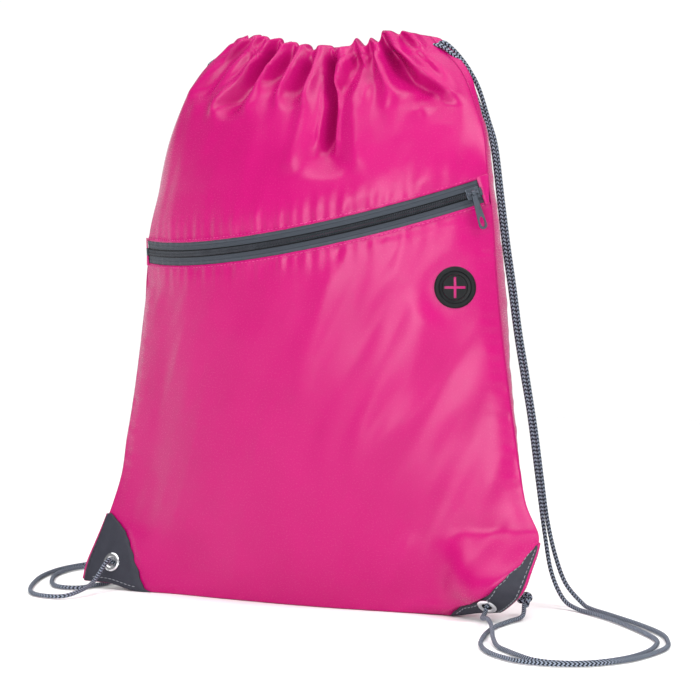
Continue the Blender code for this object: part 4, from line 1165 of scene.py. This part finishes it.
# Each strand's route, from the hem's end down to its knot.
RIGHT_FRONT_ROUTE = (
    (0.0764, 0.0066, 0.3818), (0.0799, 0.0088, 0.3816), (0.086, 0.01, 0.3815), (0.093, 0.014, 0.3757),
    (0.099, 0.0186, 0.3687), (0.102, 0.0215, 0.3597), (0.1042, 0.024, 0.35), (0.1115, 0.026, 0.331),
    (0.1171, 0.0262, 0.313), (0.1218, 0.0262, 0.279), (0.1257, 0.027, 0.246), (0.1292, 0.029, 0.218),
    (0.133, 0.031, 0.186), (0.1369, 0.033, 0.159), (0.1415, 0.035, 0.129), (0.1463, 0.039, 0.082),
    (0.1491, 0.043, 0.05), (0.153, 0.0455, 0.024), (0.1635, 0.0425, 0.007), (0.178, 0.035, 0.002),
    (0.199, 0.019, 0.002), (0.228, -0.006, 0.002), (0.266, -0.045, 0.002), (0.284, -0.069, 0.002),
    (0.292, -0.09, 0.002), (0.297, -0.115, 0.002), (0.296, -0.142, 0.002), (0.286, -0.167, 0.002),
    (0.269, -0.178, 0.002), (0.252, -0.1765, 0.002), (0.237, -0.166, 0.002), (0.222, -0.153, 0.002),
    (0.206, -0.137, 0.002), (0.193, -0.118, 0.004), (0.179, -0.093, 0.007), (0.164, -0.07, 0.0076),
    (0.152, -0.054, 0.005), (0.1473, -0.0416, 0.0065), (0.1471, -0.0376, 0.011),
    (0.1466, -0.0304, 0.0192), (0.1464, -0.0261, 0.0241), (0.1541, -0.0051, 0.0136),
)
RIGHT_REAR_ROUTE = (
    (0.0763, 0.0177, 0.382), (0.0798, 0.0156, 0.3817), (0.085, 0.015, 0.384), (0.09, 0.019, 0.3795),
    (0.0945, 0.024, 0.3725), (0.099, 0.028, 0.364), (0.104, 0.0315, 0.352), (0.1098, 0.0345, 0.331),
    (0.1152, 0.035, 0.313), (0.12, 0.035, 0.279), (0.1245, 0.0355, 0.246), (0.1283, 0.037, 0.218),
    (0.1323, 0.0385, 0.186), (0.1364, 0.0405, 0.159), (0.142, 0.043, 0.12), (0.1454, 0.0455, 0.088),
    (0.1476, 0.0495, 0.06), (0.1515, 0.0535, 0.036), (0.159, 0.055, 0.016), (0.174, 0.05, 0.004),
    (0.185, 0.041, 0.002), (0.209, 0.021, 0.002), (0.245, -0.01, 0.002), (0.274, -0.04, 0.002),
    (0.291, -0.068, 0.002), (0.3, -0.09, 0.002), (0.303, -0.117, 0.002), (0.301, -0.146, 0.002),
    (0.29, -0.171, 0.002), (0.271, -0.184, 0.002), (0.248, -0.185, 0.002), (0.227, -0.174, 0.002),
    (0.21, -0.159, 0.002), (0.196, -0.14, 0.002), (0.186, -0.12, 0.002), (0.175, -0.092, 0.002),
    (0.167, -0.064, 0.002), (0.164, -0.038, 0.002), (0.164, -0.02, 0.003), (0.1581, -0.0053, 0.0089),
)
LEFT_FRONT_ROUTE = (
    (-0.0844, 0.0055, 0.3761), (-0.0879, 0.0077, 0.3759), (-0.095, 0.0105, 0.374),
    (-0.104, 0.0165, 0.3695), (-0.108, 0.028, 0.36), (-0.1095, 0.04, 0.347), (-0.112, 0.052, 0.315),
    (-0.115, 0.058, 0.28), (-0.119, 0.063, 0.24), (-0.124, 0.065, 0.2), (-0.13, 0.067, 0.16),
    (-0.137, 0.069, 0.12), (-0.145, 0.071, 0.08), (-0.154, 0.073, 0.044), (-0.166, 0.078, 0.016),
    (-0.18, 0.083, 0.004), (-0.2, 0.084, 0.0042), (-0.222, 0.077, 0.0053), (-0.239, 0.062, 0.0036),
    (-0.248, 0.043, 0.002), (-0.242, 0.014, 0.002), (-0.231, -0.015, 0.002), (-0.211, -0.052, 0.002),
    (-0.192, -0.079, 0.002), (-0.174, -0.09, 0.002), (-0.158, -0.088, 0.0024), (-0.154, -0.072, 0.005),
    (-0.157, -0.052, 0.009), (-0.1591, -0.0325, 0.0208), (-0.159, -0.0267, 0.0194),
    (-0.1588, -0.016, 0.0167), (-0.1587, -0.0097, 0.0151), (-0.1595, 0.0, 0.015),
)
LEFT_REAR_ROUTE = (
    (-0.0844, 0.0177, 0.3763), (-0.0878, 0.0156, 0.376), (-0.0905, 0.0135, 0.374),
    (-0.0965, 0.0185, 0.3715), (-0.1, 0.0275, 0.3665), (-0.1015, 0.038, 0.3595), (-0.1045, 0.051, 0.344),
    (-0.108, 0.06, 0.315), (-0.111, 0.066, 0.28), (-0.115, 0.07, 0.24), (-0.12, 0.072, 0.2),
    (-0.126, 0.074, 0.16), (-0.133, 0.076, 0.12), (-0.141, 0.078, 0.08), (-0.15, 0.081, 0.044),
    (-0.162, 0.087, 0.016), (-0.176, 0.092, 0.003), (-0.196, 0.091, 0.002), (-0.215, 0.082, 0.002),
    (-0.231, 0.066, 0.002), (-0.24, 0.042, 0.002), (-0.234, 0.012, 0.002), (-0.218, -0.017, 0.002),
    (-0.202, -0.038, 0.002), (-0.188, -0.047, 0.002), (-0.176, -0.044, 0.002), (-0.173, -0.028, 0.002),
    (-0.173, -0.01, 0.002), (-0.171, 0.002, 0.005), (-0.1643, 0.0044, 0.0111),
)


def overhand_knot(name, place, tilt):
    """A drawn-up overhand knot in the cord itself."""
    line = []
    for a in between(0, 2 * pi, 72):
        loop = Vector((sin(a) + 2 * sin(2 * a), cos(a) - 2 * cos(2 * a), -1.25 * sin(3 * a)))
        line.append(loop * KNOT_SCALE)
    turn = Matrix.Rotation(radians(tilt), 3, "X") @ Matrix.Rotation(radians(35), 3, "Z")
    line = [Vector(place) + turn @ point for point in line]
    return tube(name, line, CORD_RADIUS, BRAID)


knot_right = overhand_knot("cord_knot_right", (0.156, 0.0, 0.011), 60)
knot_left = overhand_knot("cord_knot_left", (-0.16, 0.006, 0.015), 75)
for label, route, knot_piece in (
        ("right_front", RIGHT_FRONT_ROUTE, knot_right), ("right_rear", RIGHT_REAR_ROUTE, None),
        ("left_front", LEFT_FRONT_ROUTE, knot_left), ("left_rear", LEFT_REAR_ROUTE, None)):
    line, length = smooth_route(route, 560)
    thing = tube(f"cord_{label}_braid", line, CORD_RADIUS, BRAID)
    put(thing, "cord_grey", f"cord_{label}")
    tuple(line[0])
    [tuple(point) for point in line]


def hem_cord(name, side, drop):
    """The stretch of cord inside the gathered hem: through the front and back round the far side."""
    def run(hem, start, end):
        valleys, folds = (FRONT_VALLEYS, FRONT_FOLDS) if hem < 0 else (BACK_VALLEYS, BACK_FOLDS)
        result = []
        for t in between(start, end, 30):
            top = top_at(t if hem < 0 else -t)
            middle = hem_middle(hem, t, HEM_LEVEL)
            push = gathered_push(valleys, folds, t, Vector((middle.x, 0, top - drop)), top)
            inwards = Vector((0, -hem, 0)) * (0.0036 - min(push, 0.0))
            result.append(Vector((middle.x, middle.y, top - drop)) + inwards)
        return result
    front = run(-1, side * 0.95, -side * 0.95)
    rear = run(1, -side * 0.95, side * 0.95)
    turn = (front[-1] + rear[0]) / 2 + Vector((-side * 0.008, 0, -0.001))
    line, _ = smooth_route([*front, turn, *rear], 220)
    return tube(name, line, CORD_RADIUS, BRAID)


tunnel_right = hem_cord("hem_cord_right", 1, 0.0062)
tunnel_left = hem_cord("hem_cord_left", -1, 0.0122)


def piping(name, side):
    """The turned seam allowance that shows as a narrow pink edge outside a corner patch."""
    surface = patch_surface(side, False)
    line = []
    for z in between(0.0015, 0.052, 40):
        edge, inside = surface(PATCH_EDGE, z), surface(0.93, z)
        out = (edge - inside).normalized()
        line.append(edge + out * 0.0007 + Vector((0, -0.0006, 0)))
    return tube(name, line, 0.0011, PINK, 8)


pipings = [piping("corner_piping_left", -1), piping("corner_piping_right", 1)]


# ---- what replaces what ----
put(upper, "pink_fabric", "front_upper_panel", "channel_front")
put(pocket, "pink_fabric", "pocket_front_panel")
put(back, "pink_fabric", "back_panel", "channel_back")
put(tape_upper, "tape_grey", "zip_tape_upper")
put(tape_lower, "tape_grey", "zip_tape_lower")
put(coil_upper, "coil_black", "zip_coil_upper")
put(coil_lower, "coil_black", "zip_coil_lower")
put(knot_right, "cord_grey", "knot_right")
put(knot_left, "cord_grey", "knot_left")
put(tunnel_right, "cord_grey", "cord_tunnel_right")
put(tunnel_left, "cord_grey", "cord_tunnel_left")
for thing in topstitch + zip_ends + pipings + [port_lining]:
    put(thing, "pink_fabric")
for node, (thing, seams) in patches.items():
    put(thing, "patch_charcoal", node)
    for seam in seams:
        put(seam, "patch_charcoal")

CARRIED = {
    PINK_INNER: ("pocket_lining", "bottom_seam", "side_seam_left", "side_seam_right"),
    RUBBER: ("port_grommet", "port_membrane", "port_back_ring"),
    NICKEL: ("eyelet_left", "eyelet_right", "eyelet_washer_left", "eyelet_washer_right"),
    SLATE: ("zip_slider", "zip_puller", "zip_stop_left", "zip_stop_right"),
}
for look, names in CARRIED.items():
    for name in names:
        NODES[name].data.materials.clear()
        NODES[name].data.materials.append(look)


# ---- floor and light ----
def floor():
    mesh = bpy.data.meshes.new("floor")
    bm = bmesh.new()
    bmesh.ops.create_circle(bm, cap_ends=True, radius=1.6, segments=96)
    bm.to_mesh(mesh)
    bm.free()
    look = Look("pale_floor", 0.75, specular=0.1)
    cloudy = look.noise(look.place(), 0.8)
    look.colour(look.ramp(cloudy, (0.3, (0.94, 0.94, 0.94)), (0.7, (0.96, 0.96, 0.96))))
    new_object("floor", mesh, look.material)


def softbox(name, azimuth, elevation, distance, size, power):
    data = bpy.data.lights.new(name, "AREA")
    data.shape = "RECTANGLE"
    data.size, data.size_y = size
    data.energy = power
    stand(name, data, LIGHT_AIM, azimuth, elevation, distance)


def studio_world():
    """A light room: bright up to eye level, dimmer overhead so that folds keep their depth."""
    world = bpy.data.worlds.new("studio")
    world.use_nodes = True
    nodes, links = world.node_tree.nodes, world.node_tree.links
    place = nodes.new("ShaderNodeTexCoord")
    parts = nodes.new("ShaderNodeSeparateXYZ")
    height = nodes.new("ShaderNodeMapRange")
    ramp = nodes.new("ShaderNodeValToRGB")
    height.inputs["From Min"].default_value = -0.35
    height.inputs["From Max"].default_value = 0.35
    set_stops(ramp, ((0.66, (1.04, 1.04, 1.04)), (0.78, (0.26, 0.26, 0.26))))
    links.new(place.outputs["Generated"], parts.inputs[0])
    links.new(parts.outputs["Z"], height.inputs["Value"])
    links.new(height.outputs[0], ramp.inputs[0])
    links.new(ramp.outputs[0], nodes["Background"].inputs["Color"])
    bpy.context.scene.world = world


floor()
studio_world()
# Name, azimuth, elevation, distance, size, power.
softbox("key", 84, 42, 1.6, (0.5, 0.9), 12.0)
softbox("sheen", 14, 10, 2.7, (1.9, 1.3), 60.0)
softbox("fill", -25, 58, 2.2, (0.8, 0.8), 8.0)
softbox("top", 15, 86, 2.9, (4.6, 4.6), 140.0)
bpy.context.scene.view_settings.view_transform = "Standard"
